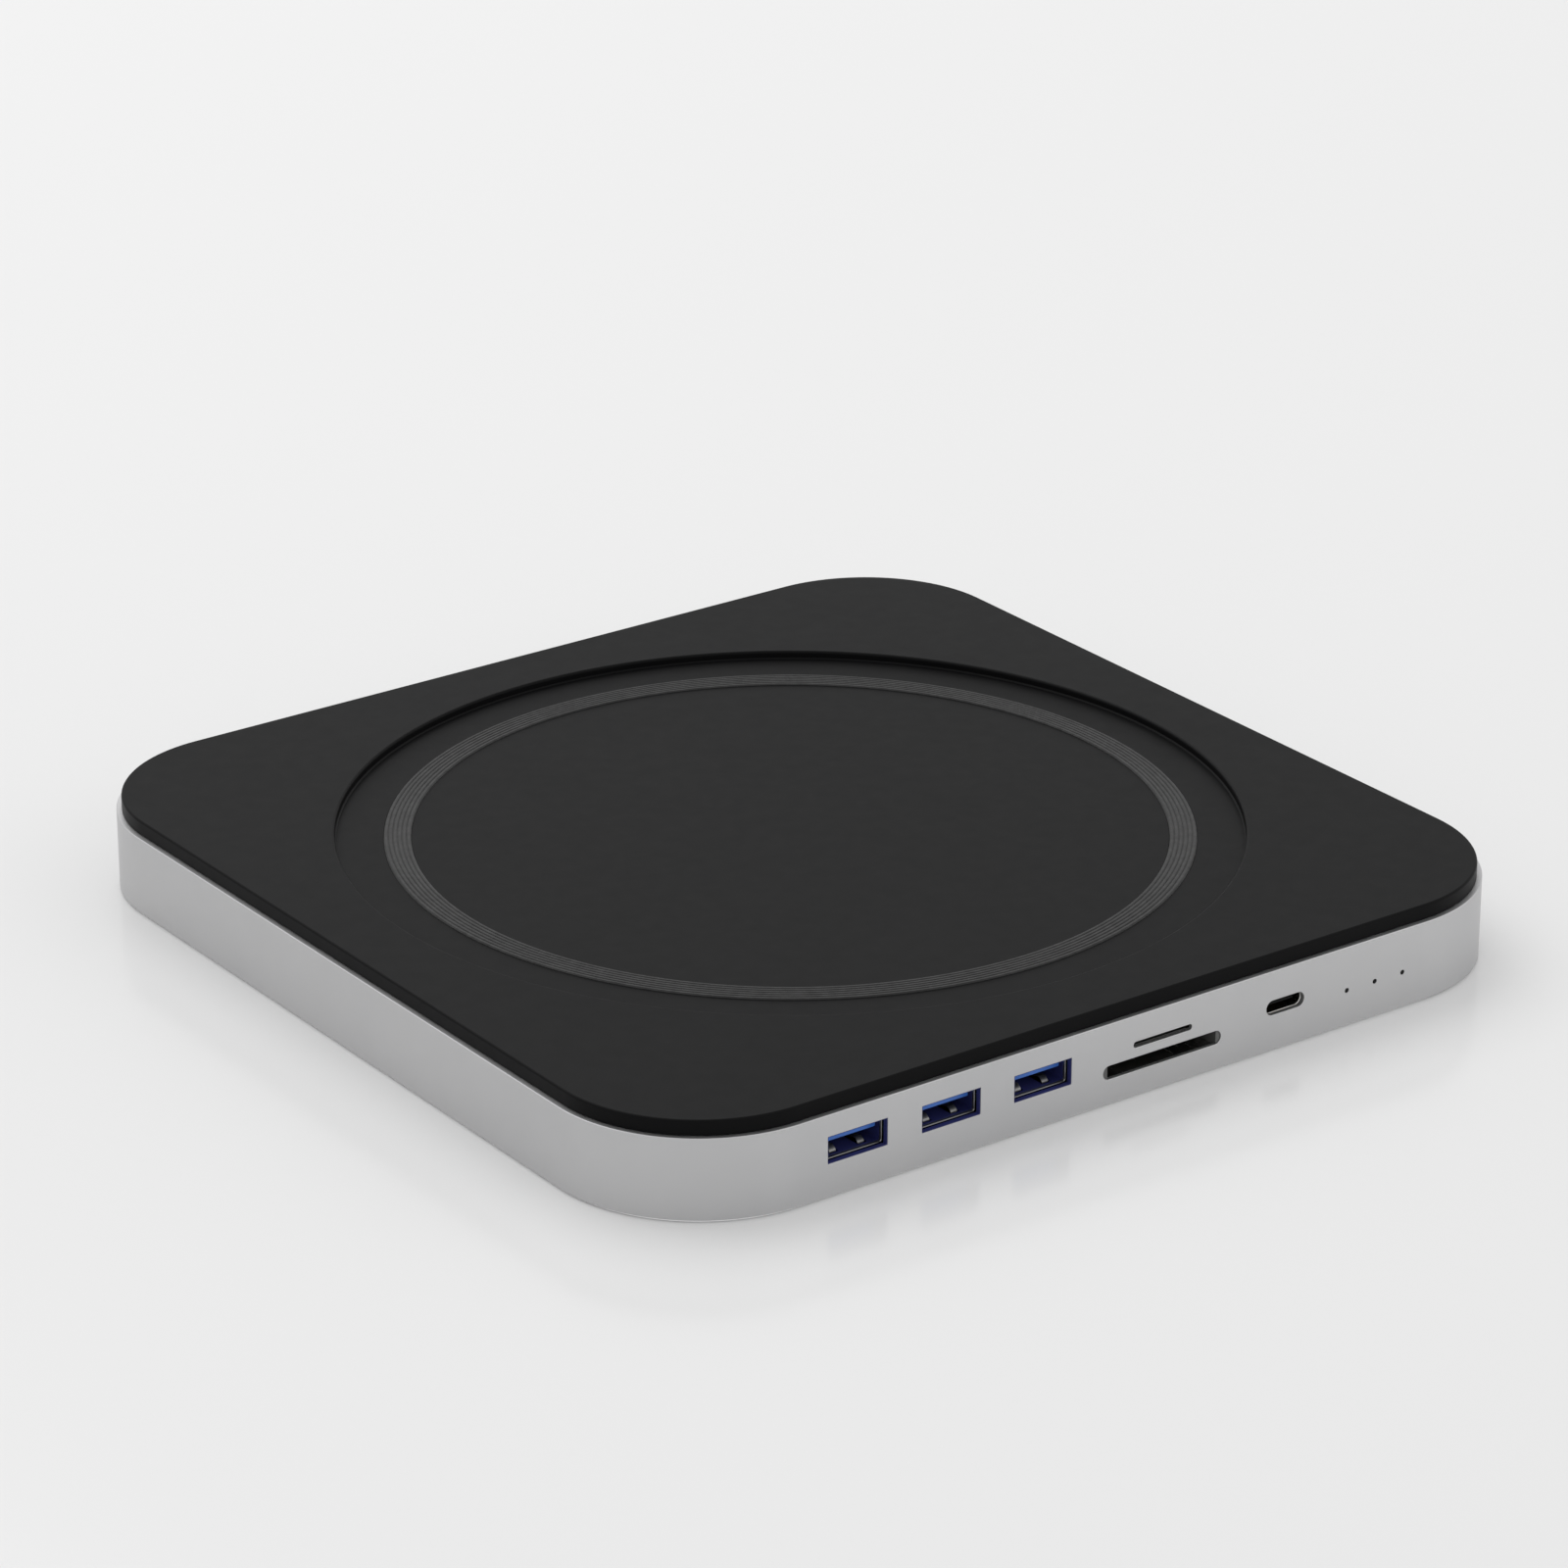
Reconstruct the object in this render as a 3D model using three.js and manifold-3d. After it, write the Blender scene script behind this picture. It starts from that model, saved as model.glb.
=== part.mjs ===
// A square USB hub that doubles as a stand for a small desktop computer of the same footprint.
// Millimetres, +Z up. The origin is the middle of the footprint, on the surface that the feet stand on.
// The front, with its ports, faces -Y. An aluminium frame forms the sides. A black plastic base closes
// it below and carries the boards, and a black plastic tray closes it above and holds the computer.
// A hinged door in the base opens a bay for a 2.5 inch drive.
import * as THREE from 'three';
import { mergeVertices } from 'three/addons/utils/BufferGeometryUtils.js';
import Module from 'manifold-3d';

const wasm = await Module();
wasm.setup();

// Driving dimensions -----------------------------------------------------------------------------

const SIDE = 197; // footprint, both ways
const CORNER = 29; // outer corner radius
const FRAME_HEIGHT = 15.24; // height of the aluminium frame
const FOOT_GAP = 0.4; // the frame's lower edge above the table
const WALL = 2; // side walls of the frame
const PORT_WALL = 0.8; // the walls where they are thinned behind the ports
const TRAY_HEIGHT = 2.9; // the tray stands this far above the frame
const TRAY_INSET = 1; // and this far inside its outer faces
const SNUG = 0.2; // gap between pieces that sit in each other
const FREE = 0.3; // gap around a piece that moves
const MEET = 0.02; // gap where faces touch in the real thing

const HALF = SIDE / 2;
const INSIDE = HALF - WALL; // inner face of the side walls
const FRAME_TOP = FOOT_GAP + FRAME_HEIGHT;
const TRAY_TOP = FRAME_TOP + TRAY_HEIGHT;

const BASE_LOW = FOOT_GAP + 0.3; // underside of the base, just inside the frame's edge
const BASE_TOP = BASE_LOW + 1.7;

const BOARD_LOW = FOOT_GAP + 7.3; // circuit boards
const BOARD_TOP = BOARD_LOW + 1.6;
const BOARD_MID = (BOARD_LOW + BOARD_TOP) / 2;

// Front openings: middle and size of each, seen from the front.
const USB_A = { xs: [-57.6, -37.85, -18.1], z: BOARD_MID + 0.5, width: 12.5, height: 5.1 };
const SD = { x: 8.35, z: BOARD_MID - 2.17, width: 26.4, height: 2.6 };
const MICRO_SD = { x: 8.35, z: BOARD_MID + 1.52, width: 13.1, height: 1.15 };
const USB_C = { x: 36.25, z: BOARD_MID, width: 8.7, height: 2.85 };
const LEDS = { xs: [50.6, 57.15, 63.7], z: BOARD_MID - 1.35, radius: 0.46 };
const HOST_X = 40; // the host USB-C port in the rear wall

// Drive bay, which takes a drive of 100.2 x 69.85 x 7 mm.
const BAY = { x: 36, front: -46, back: 66, low: BASE_TOP, high: BASE_TOP + 9.9 };
const DOOR_HOLE = { x: 36, front: -45, back: 64.5 };
const DOOR_TOP = BASE_LOW + 1.5;
const HINGE = { y: 62.6, z: DOOR_TOP, radius: 1.5, bore: 0.9, pin: 0.7 };
const LATCH_TRAVEL = 3;

// Materials --------------------------------------------------------------------------------------

const finish = (color, roughness, metalness) =>
  new THREE.MeshStandardMaterial({ color, roughness, metalness });
const aluminium = finish(0xc9c9cb, 0.35, 1);
const blackPlastic = finish(0x17181a, 0.5, 0);
const socketPlastic = finish(0x101012, 0.45, 0);
const usbBlue = finish(0x1f63c4, 0.4, 0);
const nickel = finish(0xb4b6ba, 0.22, 1);
const steel = finish(0x8f9297, 0.35, 1);
const boardGreen = finish(0x10331f, 0.45, 0);
const chipBlack = finish(0x1b1b1d, 0.6, 0);
const rubber = finish(0x141414, 0.85, 0);
const foam = finish(0x2a2a2c, 0.95, 0);
const flexOrange = finish(0xb06a1c, 0.4, 0);
const clearGuide = finish(0xe8eef2, 0.1, 0);
const ledWhite = finish(0xf2efe2, 0.35, 0);

// Solids -----------------------------------------------------------------------------------------

// A three.js geometry as a manifold-3d solid.
function solidOf(geometry) {
  const bare = geometry.clone();
  bare.deleteAttribute('normal');
  bare.deleteAttribute('uv');
  const merged = mergeVertices(bare, 1e-4);
  return new wasm.Manifold(
    new wasm.Mesh({
      numProp: 3,
      vertProperties: merged.attributes.position.array,
      triVerts: new Uint32Array(merged.index.array),
    }),
  );
}

function geometryOf(solid) {
  const { vertProperties, triVerts } = solid.getMesh();
  const geometry = new THREE.BufferGeometry();
  geometry.setAttribute('position', new THREE.BufferAttribute(vertProperties, 3));
  geometry.setIndex(new THREE.BufferAttribute(triVerts, 1));
  geometry.computeVertexNormals();
  return geometry;
}

// Joined solids overlap a little, and cutters run past the faces that they open.
const join = (first, ...rest) => rest.reduce((all, next) => all.add(next), first);
const cut = (first, ...rest) => rest.reduce((all, next) => all.subtract(next), first);

// A box between two corners.
function block(x0, x1, y0, y1, z0, z1) {
  const box = new THREE.BoxGeometry(x1 - x0, y1 - y0, z1 - z0);
  return solidOf(box.translate((x0 + x1) / 2, (y0 + y1) / 2, (z0 + z1) / 2));
}

// Round bars along Z, Y and X.
function postZ(x, y, radius, z0, z1, sides = 16, topRadius = radius) {
  const bar = new THREE.CylinderGeometry(topRadius, radius, z1 - z0, sides);
  return solidOf(bar.rotateX(Math.PI / 2).translate(x, y, (z0 + z1) / 2));
}

function barY(x, z, radius, y0, y1, sides = 10) {
  const bar = new THREE.CylinderGeometry(radius, radius, y1 - y0, sides);
  return solidOf(bar.translate(x, (y0 + y1) / 2, z));
}

function barX(y, z, radius, x0, x1, sides = 12) {
  const bar = new THREE.CylinderGeometry(radius, radius, x1 - x0, sides);
  return solidOf(bar.rotateZ(Math.PI / 2).translate((x0 + x1) / 2, y, z));
}

// A rectangle with round corners, about the origin.
function roundedRectangle(width, depth, radius) {
  const x = width / 2 - radius;
  const y = depth / 2 - radius;
  const shape = new THREE.Shape();
  shape.absarc(x, y, radius, 0, Math.PI / 2);
  shape.absarc(-x, y, radius, Math.PI / 2, Math.PI);
  shape.absarc(-x, -y, radius, Math.PI, 1.5 * Math.PI);
  shape.absarc(x, -y, radius, 1.5 * Math.PI, 2 * Math.PI);
  shape.closePath();
  return shape;
}

// A flat shape raised from z0 to z1.
function slab(shape, z0, z1, curveSegments = 7) {
  const options = { depth: z1 - z0, bevelEnabled: false, curveSegments };
  return solidOf(new THREE.ExtrudeGeometry(shape, options).translate(0, 0, z0));
}

// The square outline of the hub, brought in by inset on every side.
const footprint = (inset) =>
  roundedRectangle(SIDE - 2 * inset, SIDE - 2 * inset, CORNER - inset);

// A round-ended slot or tongue through the front or rear wall, from y0 to y1.
function stadiumY({ x, z, width, height }, y0, y1, curveSegments = 4) {
  const shape = roundedRectangle(width, height, height / 2 - 0.001);
  const options = { depth: y1 - y0, bevelEnabled: false, curveSegments };
  const geometry = new THREE.ExtrudeGeometry(shape, options);
  return solidOf(geometry.rotateX(Math.PI / 2).translate(x, y1, z));
}

const FOUR_WAYS = [
  [-1, -1],
  [1, -1],
  [1, 1],
  [-1, 1],
];

// The object -------------------------------------------------------------------------------------

const hub = new THREE.Group();

// Adds a solid to the group as a named mesh, and returns the mesh.
function piece(name, solid, material, parent = hub) {
  const mesh = new THREE.Mesh(geometryOf(solid), material);
  mesh.name = name;
  parent.add(mesh);
  return mesh;
}

// Screws: a pan or countersunk head on a plain shank.
const SCREW = { shank: 1, head: 2, headHeight: 1.2 };

function panScrew(name, x, y, seat, length) {
  const head = postZ(0, 0, SCREW.head, 0, SCREW.headHeight, 12, SCREW.head * 0.85);
  const socket = postZ(0, 0, 0.75, SCREW.headHeight - 0.6, SCREW.headHeight + 1, 6);
  const shank = postZ(0, 0, SCREW.shank, -length, 0.2, 8);
  const screw = piece(name, cut(join(head, shank), socket), steel);
  screw.position.set(x, y, seat);
}

// Frame and tray ---------------------------------------------------------------------------------

const SEAT = { radius: 84, depth: 1.6 }; // round recess for the computer's foot
const GRIP = { inner: 70, outer: 75, groove: 0.4, proud: 0.35 };
const SEAT_FLOOR = TRAY_TOP - SEAT.depth;
const ROUND = 48; // sides of the large circles
const PORT_POCKET = { x: 68, low: BASE_TOP + 1.2, high: BASE_TOP + 10.4 };
const HOST_POCKET = { x0: HOST_X - 8, x1: HOST_X + 8 };
const CASE_SCREW_AT = 86; // from the middle, along X and Y
const CASE_SCREW = { shank: 0.95, head: 2.35, neck: 1.1, socket: 0.8, socketDepth: 0.75 };
const BOSS = { radius: 4.2, bore: 1.3, top: FRAME_TOP - 2.7 };
const TRAY_POST = { radius: 3.4, bore: 1.1, top: FRAME_TOP + 1.4 };
const SKIRT = { low: FRAME_TOP - 2, thick: 1.2 };
const RIBS = { places: [-55, -20, 20, 55], width: 1.2, low: FRAME_TOP - 1.6, end: 93.6 };

function ringZ(inner, outer, z0, z1, sides) {
  return cut(postZ(0, 0, outer, z0, z1, sides), postZ(0, 0, inner, z0 - 1, z1 + 1, sides));
}

const cornerScrews = FOUR_WAYS.map(([sx, sy]) => [sx * CASE_SCREW_AT, sy * CASE_SCREW_AT]);

function frontCuts() {
  const through = [-HALF - 1, -INSIDE + 0.5];
  const [w, h] = [USB_A.width / 2, USB_A.height / 2];
  return [
    ...USB_A.xs.map((x) => block(x - w, x + w, ...through, USB_A.z - h, USB_A.z + h)),
    ...[SD, MICRO_SD, USB_C].map((slot) => stadiumY(slot, ...through, 5)),
    ...LEDS.xs.map((x) => barY(x, LEDS.z, LEDS.radius, ...through, 12)),
  ];
}

function sideFrame() {
  const { x, low, high } = PORT_POCKET;
  const thin = HALF - PORT_WALL;
  const ring = cut(
    slab(footprint(0), FOOT_GAP, FRAME_TOP),
    slab(footprint(WALL), FOOT_GAP - 1, FRAME_TOP + 1),
    block(-x, x, -thin, -INSIDE + 1, low, high),
    block(HOST_POCKET.x0, HOST_POCKET.x1, INSIDE - 1, thin, low, high),
    stadiumY({ ...USB_C, x: HOST_X }, INSIDE - 0.5, HALF + 1, 5),
    ...frontCuts(),
  );
  const bosses = cornerScrews.map(([bx, by]) =>
    cut(
      postZ(bx, by, BOSS.radius, BASE_TOP, BOSS.top),
      postZ(bx, by, BOSS.bore, BASE_TOP - 1, BOSS.top + 1, 12),
    ),
  );
  return join(ring, ...bosses);
}

function topTray() {
  const skirt = cut(
    slab(footprint(WALL + SNUG), SKIRT.low, FRAME_TOP + 0.5),
    slab(footprint(WALL + SNUG + SKIRT.thick), SKIRT.low - 1, FRAME_TOP),
  );
  const ribs = RIBS.places.flatMap((at) => {
    const [near, far] = [at - RIBS.width / 2, at + RIBS.width / 2];
    const { low, end } = RIBS;
    return [
      block(near, far, -end, end, low, FRAME_TOP + 0.5),
      block(-end, end, near, far, low, FRAME_TOP + 0.5),
    ];
  });
  const { radius, bore, top } = TRAY_POST;
  const posts = cornerScrews.map(([x, y]) => postZ(x, y, radius, BOSS.top, FRAME_TOP + 0.5));
  const bores = cornerScrews.map(([x, y]) => postZ(x, y, bore, BOSS.top - 1, top, 12));
  const solid = join(slab(footprint(TRAY_INSET), FRAME_TOP, TRAY_TOP), skirt, ...ribs, ...posts);
  return cut(
    solid,
    postZ(0, 0, SEAT.radius, SEAT_FLOOR, TRAY_TOP + 1, ROUND),
    ringZ(GRIP.inner - 0.1, GRIP.outer + 0.1, SEAT_FLOOR - GRIP.groove, TRAY_TOP, ROUND),
    ...bores,
  );
}

piece('side_frame', sideFrame(), aluminium);
piece('top_tray', topTray(), blackPlastic);
piece(
  'grip_ring',
  ringZ(GRIP.inner, GRIP.outer, SEAT_FLOOR - GRIP.groove, SEAT_FLOOR + GRIP.proud, ROUND),
  rubber,
);

// Base -------------------------------------------------------------------------------------------

const FOOT = { at: 72, radius: 8, seat: 0.6 };
const BOARD_POSTS = [
  [-68, -90],
  [69, -90],
  [-68, -56],
  [68, -56],
];
const REAR_POSTS = [
  [22, 86],
  [61, 90],
];
const CRADLE_POSTS = [
  [-41.5, -38],
  [41.5, -38],
  [-41.5, 58],
  [41.5, 58],
];
const CRADLE_POST_TOP = BASE_TOP + 3;
const LUG = { from: 30.4, to: 34, behind: 1.5 }; // the lugs that hold the hinge pin, on each side
const POST = { radius: 3, bore: 1.2 };
const COUNTERSINK = { wide: 2.6, narrow: 1.4, depth: 1.2 };
const VENTS = { count: 7, pitch: 5, width: 1.8, length: 30, x: 66 };

function hollowPost([x, y], top) {
  const post = postZ(x, y, POST.radius, BASE_TOP - 0.5, top, 12);
  return cut(post, postZ(x, y, POST.bore, BASE_TOP + 0.4, top + 1, 8));
}

// Rounded in front, where the door swings past it.
function hingeLug(side) {
  const [x0, x1] = side < 0 ? [-LUG.to, -LUG.from] : [LUG.from, LUG.to];
  const { y, z, radius } = HINGE;
  const lug = join(
    barX(y, z, radius, x0, x1, 20),
    block(x0, x1, y, DOOR_HOLE.back + LUG.behind, BASE_LOW, z + radius),
  );
  return cut(lug, barX(y, z, HINGE.bore, x0 - 1, x1 + 1));
}

function ventSlots() {
  const slots = [];
  for (const side of [-1, 1]) {
    for (let i = 0; i < VENTS.count; i += 1) {
      const y = (i - (VENTS.count - 1) / 2) * VENTS.pitch;
      const [x0, x1] = [side * VENTS.x - VENTS.length / 2, side * VENTS.x + VENTS.length / 2];
      const [y0, y1] = [y - VENTS.width / 2, y + VENTS.width / 2];
      slots.push(block(x0, x1, y0, y1, BASE_LOW - 1, BASE_TOP + 1));
    }
  }
  return slots;
}

function basePlate() {
  const { wide, narrow, depth } = COUNTERSINK;
  const screwCuts = cornerScrews.flatMap(([x, y]) => [
    postZ(x, y, wide, BASE_LOW - 0.01, BASE_LOW + depth, 16, narrow),
    postZ(x, y, narrow, BASE_LOW - 1, BASE_TOP + 1, 12),
  ]);
  const footSeats = FOUR_WAYS.map(([sx, sy]) =>
    postZ(sx * FOOT.at, sy * FOOT.at, FOOT.radius + SNUG, BASE_LOW - 1, BASE_LOW + FOOT.seat, 24),
  );
  const plate = cut(
    slab(footprint(WALL + SNUG), BASE_LOW, BASE_TOP),
    block(-DOOR_HOLE.x, DOOR_HOLE.x, DOOR_HOLE.front, DOOR_HOLE.back, BASE_LOW - 1, BASE_TOP + 1),
    ...screwCuts,
    ...footSeats,
    ...ventSlots(),
  );
  const posts = [
    ...[...BOARD_POSTS, ...REAR_POSTS].map((at) => hollowPost(at, BOARD_LOW)),
    ...CRADLE_POSTS.map((at) => hollowPost(at, CRADLE_POST_TOP)),
  ];
  return join(plate, ...posts, hingeLug(-1), hingeLug(1));
}

piece('base_plate', basePlate(), blackPlastic);

FOUR_WAYS.forEach(([sx, sy], i) => {
  const { radius, seat } = FOOT;
  const high = BASE_LOW + seat - MEET;
  const solid = join(postZ(0, 0, radius - 0.4, 0, 0.4, 24, radius), postZ(0, 0, radius, 0.4, high, 24));
  piece(`foot_${i + 1}`, solid, rubber).position.set(sx * FOOT.at, sy * FOOT.at, 0);
});

// Long screws that clamp the base, the frame and the tray together.
function caseScrew() {
  const { shank, head, neck, socket, socketDepth } = CASE_SCREW;
  const end = TRAY_POST.top - BASE_LOW - 0.6;
  const solid = join(
    postZ(0, 0, head, 0.1, COUNTERSINK.depth, 16, neck),
    postZ(0, 0, shank, 1, end, 10),
  );
  return cut(solid, postZ(0, 0, socket, -1, socketDepth, 6));
}

cornerScrews.forEach(([x, y], i) => {
  piece(`case_screw_${i + 1}`, caseScrew(), steel).position.set(x, y, BASE_LOW);
});

// Drive bay --------------------------------------------------------------------------------------

const CRADLE_WALL = 1.2;
const CRADLE_ROOF = 1;
const SATA = { x: 20.6, front: -53, back: -46.4, low: BOARD_MID - 2.8, high: BOARD_MID + 2.8 };
const SATA_SLOTS = {
  ends: [
    [-18, 3.8],
    [6.9, 17.9],
  ],
  depth: 4.2,
  half: 1,
};
const EAR = { radius: 3, thick: 1.5 };
const ROOF_WINDOW = { x: 12, front: -30, back: 50 };
const CRADLE_SCREW = 3.6; // length below the head

function driveCradle() {
  const [x, front, back] = [BAY.x + CRADLE_WALL, BAY.front - CRADLE_WALL, BAY.back + CRADLE_WALL];
  const box = cut(
    block(-x, x, front, back, BAY.low + MEET, BAY.high + CRADLE_ROOF),
    block(-BAY.x, BAY.x, BAY.front, BAY.back, BAY.low - 1, BAY.high),
    block(-SATA.x - 1, SATA.x + 1, front - 1, BAY.front + 1, BAY.low - 1, SATA.high + 0.7),
    block(-ROOF_WINDOW.x, ROOF_WINDOW.x, ROOF_WINDOW.front, ROOF_WINDOW.back, BAY.high - 1, BAY.high + 2),
  );
  const ears = CRADLE_POSTS.map(([px, py]) => {
    const inner = Math.sign(px) * (x - 0.5);
    const [x0, x1] = [Math.min(inner, px), Math.max(inner, px)];
    const low = CRADLE_POST_TOP;
    const ear = join(
      postZ(px, py, EAR.radius, low, low + EAR.thick, 14),
      block(x0, x1, py - EAR.radius, py + EAR.radius, low, low + EAR.thick),
    );
    return cut(ear, postZ(px, py, SCREW.shank + 0.3, low - 1, low + EAR.thick + 1, 10));
  });
  return join(box, ...ears);
}

piece('drive_cradle', driveCradle(), blackPlastic);
CRADLE_POSTS.forEach(([x, y], i) =>
  panScrew(`cradle_screw_${i + 1}`, x, y, CRADLE_POST_TOP + EAR.thick, CRADLE_SCREW),
);

// The receptacle for the drive: a long power slot and a short data slot.
function sataConnector() {
  const { ends, depth, half } = SATA_SLOTS;
  const slots = ends.map(([x0, x1]) =>
    block(x0, x1, SATA.back - depth, SATA.back + 1, BOARD_MID - half, BOARD_MID + half),
  );
  return cut(block(-SATA.x, SATA.x, SATA.front, SATA.back, SATA.low, SATA.high), ...slots);
}

piece('sata_connector', sataConnector(), socketPlastic);

// Door: a panel with a hinge barrel, rails for the latch and a slot for the latch's thumb tab.
const DOOR = { x: DOOR_HOLE.x - 0.4, front: DOOR_HOLE.front + 0.4, notch: 60.6 };
const BARREL_END = 30;
const LATCH = { x: 5, front: -44.4, back: -34, low: DOOR_TOP + 0.4, high: DOOR_TOP + 1.4 };
const TAB = { x: 3.6, front: -39.9, back: -36.9 };
const TAB_GROOVES = { pitch: 0.9, width: 0.36, high: BASE_LOW + 0.55 };
const RAIL = { width: 1.2, lip: 0.8, front: -43.4, back: -35, high: LATCH.high + 0.9 };
const PAD = { x: 28, front: -30, back: 52, thick: 2.4 };

// One rail, on the +X or -X side: a wall with a lip that reaches over the latch.
function latchRail(side) {
  const near = LATCH.x + FREE;
  const far = near + RAIL.width;
  const span = (from, to) => [side * from, side * to].sort((a, b) => a - b);
  const { front, back, high } = RAIL;
  return join(
    block(...span(near, far), front, back, DOOR_TOP - 0.5, high),
    block(...span(LATCH.x - RAIL.lip, far), front, back, LATCH.high + FREE, high),
  );
}

function bayDoor() {
  const [low, high] = [BASE_LOW - 1, DOOR_TOP + 1];
  const panel = cut(
    block(-DOOR.x, DOOR.x, DOOR.front, HINGE.y, BASE_LOW, DOOR_TOP),
    block(BARREL_END + 0.1, DOOR.x + 1, DOOR.notch, HINGE.y + 1, low, high),
    block(-DOOR.x - 1, -BARREL_END - 0.1, DOOR.notch, HINGE.y + 1, low, high),
    block(-TAB.x - FREE, TAB.x + FREE, TAB.front - LATCH_TRAVEL - FREE, TAB.back + FREE, low, high),
  );
  const barrel = barX(HINGE.y, HINGE.z, HINGE.radius, -BARREL_END, BARREL_END, 20);
  const bore = barX(HINGE.y, HINGE.z, HINGE.bore, -DOOR.x, DOOR.x);
  return cut(join(panel, barrel, latchRail(-1), latchRail(1)), bore);
}

function doorLatch() {
  const { pitch, width, high } = TAB_GROOVES;
  const slide = block(-LATCH.x, LATCH.x, LATCH.front, LATCH.back, LATCH.low, LATCH.high);
  const tab = block(-TAB.x, TAB.x, TAB.front, TAB.back, BASE_LOW + 0.3, LATCH.low + 0.5);
  const grooves = [-1, 0, 1].map((i) => {
    const y = (TAB.front + TAB.back) / 2 + i * pitch;
    return block(-TAB.x - 1, TAB.x + 1, y - width / 2, y + width / 2, BASE_LOW - 1, high);
  });
  return cut(join(slide, tab), ...grooves);
}

piece('bay_door', bayDoor(), blackPlastic);
piece('door_latch', doorLatch(), steel);
piece('door_pad', block(-PAD.x, PAD.x, PAD.front, PAD.back, DOOR_TOP, DOOR_TOP + PAD.thick), foam);
piece('hinge_pin', barX(HINGE.y, HINGE.z, HINGE.pin, 0.2 - LUG.to, LUG.to - 0.2), steel);

// Circuit boards ---------------------------------------------------------------------------------

const BOARD = { x: 73, front: -95.8, back: -50 };
const REAR_BOARD = { left: 18, right: 65, front: 80, back: 95.8 };
const USB_A_BACK = 14.7; // rear ends of the USB-A sockets, behind the frame's front face
const USB_C_DEPTH = 7.4;
const PORT_FACE = -HALF + PORT_WALL + 0.1; // front ends of the sockets, just behind the thin wall
const NOTCH_GAP = 0.25;
const THROUGH = [BOARD_LOW - 1, BOARD_TOP + 1]; // the heights of a cutter through a board
const BOARD_SCREW = 5.5; // length below the head
const METAL = 0.3; // sheet metal of the port shells

const screwHoles = (places) =>
  places.map(([x, y]) => postZ(x, y, SCREW.shank + 0.2, ...THROUGH, 12));

function mainBoard() {
  const usbHalf = USB_A.width / 2 + METAL + NOTCH_GAP;
  const usbCHalf = USB_C.width / 2 + METAL + NOTCH_GAP;
  const notches = USB_A.xs.map((x) =>
    block(x - usbHalf, x + usbHalf, -HALF, USB_A_BACK - HALF + NOTCH_GAP, ...THROUGH),
  );
  notches.push(
    block(USB_C.x - usbCHalf, USB_C.x + usbCHalf, -HALF, PORT_FACE + USB_C_DEPTH + NOTCH_GAP, ...THROUGH),
    block(-SATA.x - NOTCH_GAP, SATA.x + NOTCH_GAP, SATA.front - NOTCH_GAP, SATA.back, ...THROUGH),
  );
  const plate = block(-BOARD.x, BOARD.x, BOARD.front, BOARD.back, BOARD_LOW, BOARD_TOP);
  return cut(plate, ...notches, ...screwHoles(BOARD_POSTS));
}

function rearBoard() {
  const half = USB_C.width / 2 + METAL + NOTCH_GAP;
  const y = -PORT_FACE - USB_C_DEPTH - NOTCH_GAP;
  return cut(
    block(REAR_BOARD.left, REAR_BOARD.right, REAR_BOARD.front, REAR_BOARD.back, BOARD_LOW, BOARD_TOP),
    block(HOST_X - half, HOST_X + half, y, HALF, ...THROUGH),
    ...screwHoles(REAR_POSTS),
  );
}

piece('main_board', mainBoard(), boardGreen);
piece('rear_board', rearBoard(), boardGreen);
BOARD_POSTS.forEach(([x, y], i) => panScrew(`board_screw_${i + 1}`, x, y, BOARD_TOP, BOARD_SCREW));
REAR_POSTS.forEach(([x, y], i) => panScrew(`rear_board_screw_${i + 1}`, x, y, BOARD_TOP, BOARD_SCREW));

// The larger components, each standing on the main board: middle, width, depth, height.
const COMPONENTS = [
  ['hub_controller_chip', -36, -68, 9, 9, 0.9, chipBlack],
  ['card_reader_chip', 10, -73, 6, 6, 0.8, chipBlack],
  ['drive_bridge_chip', -2, -60, 7, 7, 0.8, chipBlack],
  ['crystal', -24, -66, 3.2, 5, 1, steel],
  ['power_inductor', 50, -72, 6, 6, 2.8, chipBlack],
];
for (const [name, x, y, width, depth, height, material] of COMPONENTS) {
  const body = block(-width / 2, width / 2, -depth / 2, depth / 2, 0, height);
  piece(name, body, material).position.set(x, y, BOARD_TOP);
}

// Flat cable between the boards, along the side of the bay, with a socket at each end.
const RIBBON = { x: 52, half: 6, thick: 0.4, level: 0.9, sag: 1.6 };
const FFC = { depth: 4.4, half: 7.4, height: 2, stop: 1.6, gap: 0.25 };

function ribbonCable() {
  const [y0, y1] = [BOARD.back - FFC.depth + FFC.stop, REAR_BOARD.front + FFC.depth - FFC.stop];
  const level = BOARD_TOP + RIBBON.level;
  const line = new THREE.Shape();
  const lower = (t) => level - RIBBON.sag * Math.sin(Math.PI * t) ** 2;
  const steps = 16;
  line.moveTo(y0, level);
  for (let i = 1; i <= steps; i += 1) line.lineTo(y0 + ((y1 - y0) * i) / steps, lower(i / steps));
  for (let i = steps; i >= 0; i -= 1) {
    line.lineTo(y0 + ((y1 - y0) * i) / steps, lower(i / steps) + RIBBON.thick);
  }
  const options = { depth: 2 * RIBBON.half, bevelEnabled: false };
  const band = new THREE.ExtrudeGeometry(line, options);
  // The shape's own axes become Y and Z, and its depth becomes X.
  band.applyMatrix4(new THREE.Matrix4().set(0, 0, 1, 0, 1, 0, 0, 0, 0, 1, 0, 0, 0, 0, 0, 1));
  return solidOf(band.translate(RIBBON.x - RIBBON.half, 0, 0));
}

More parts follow.
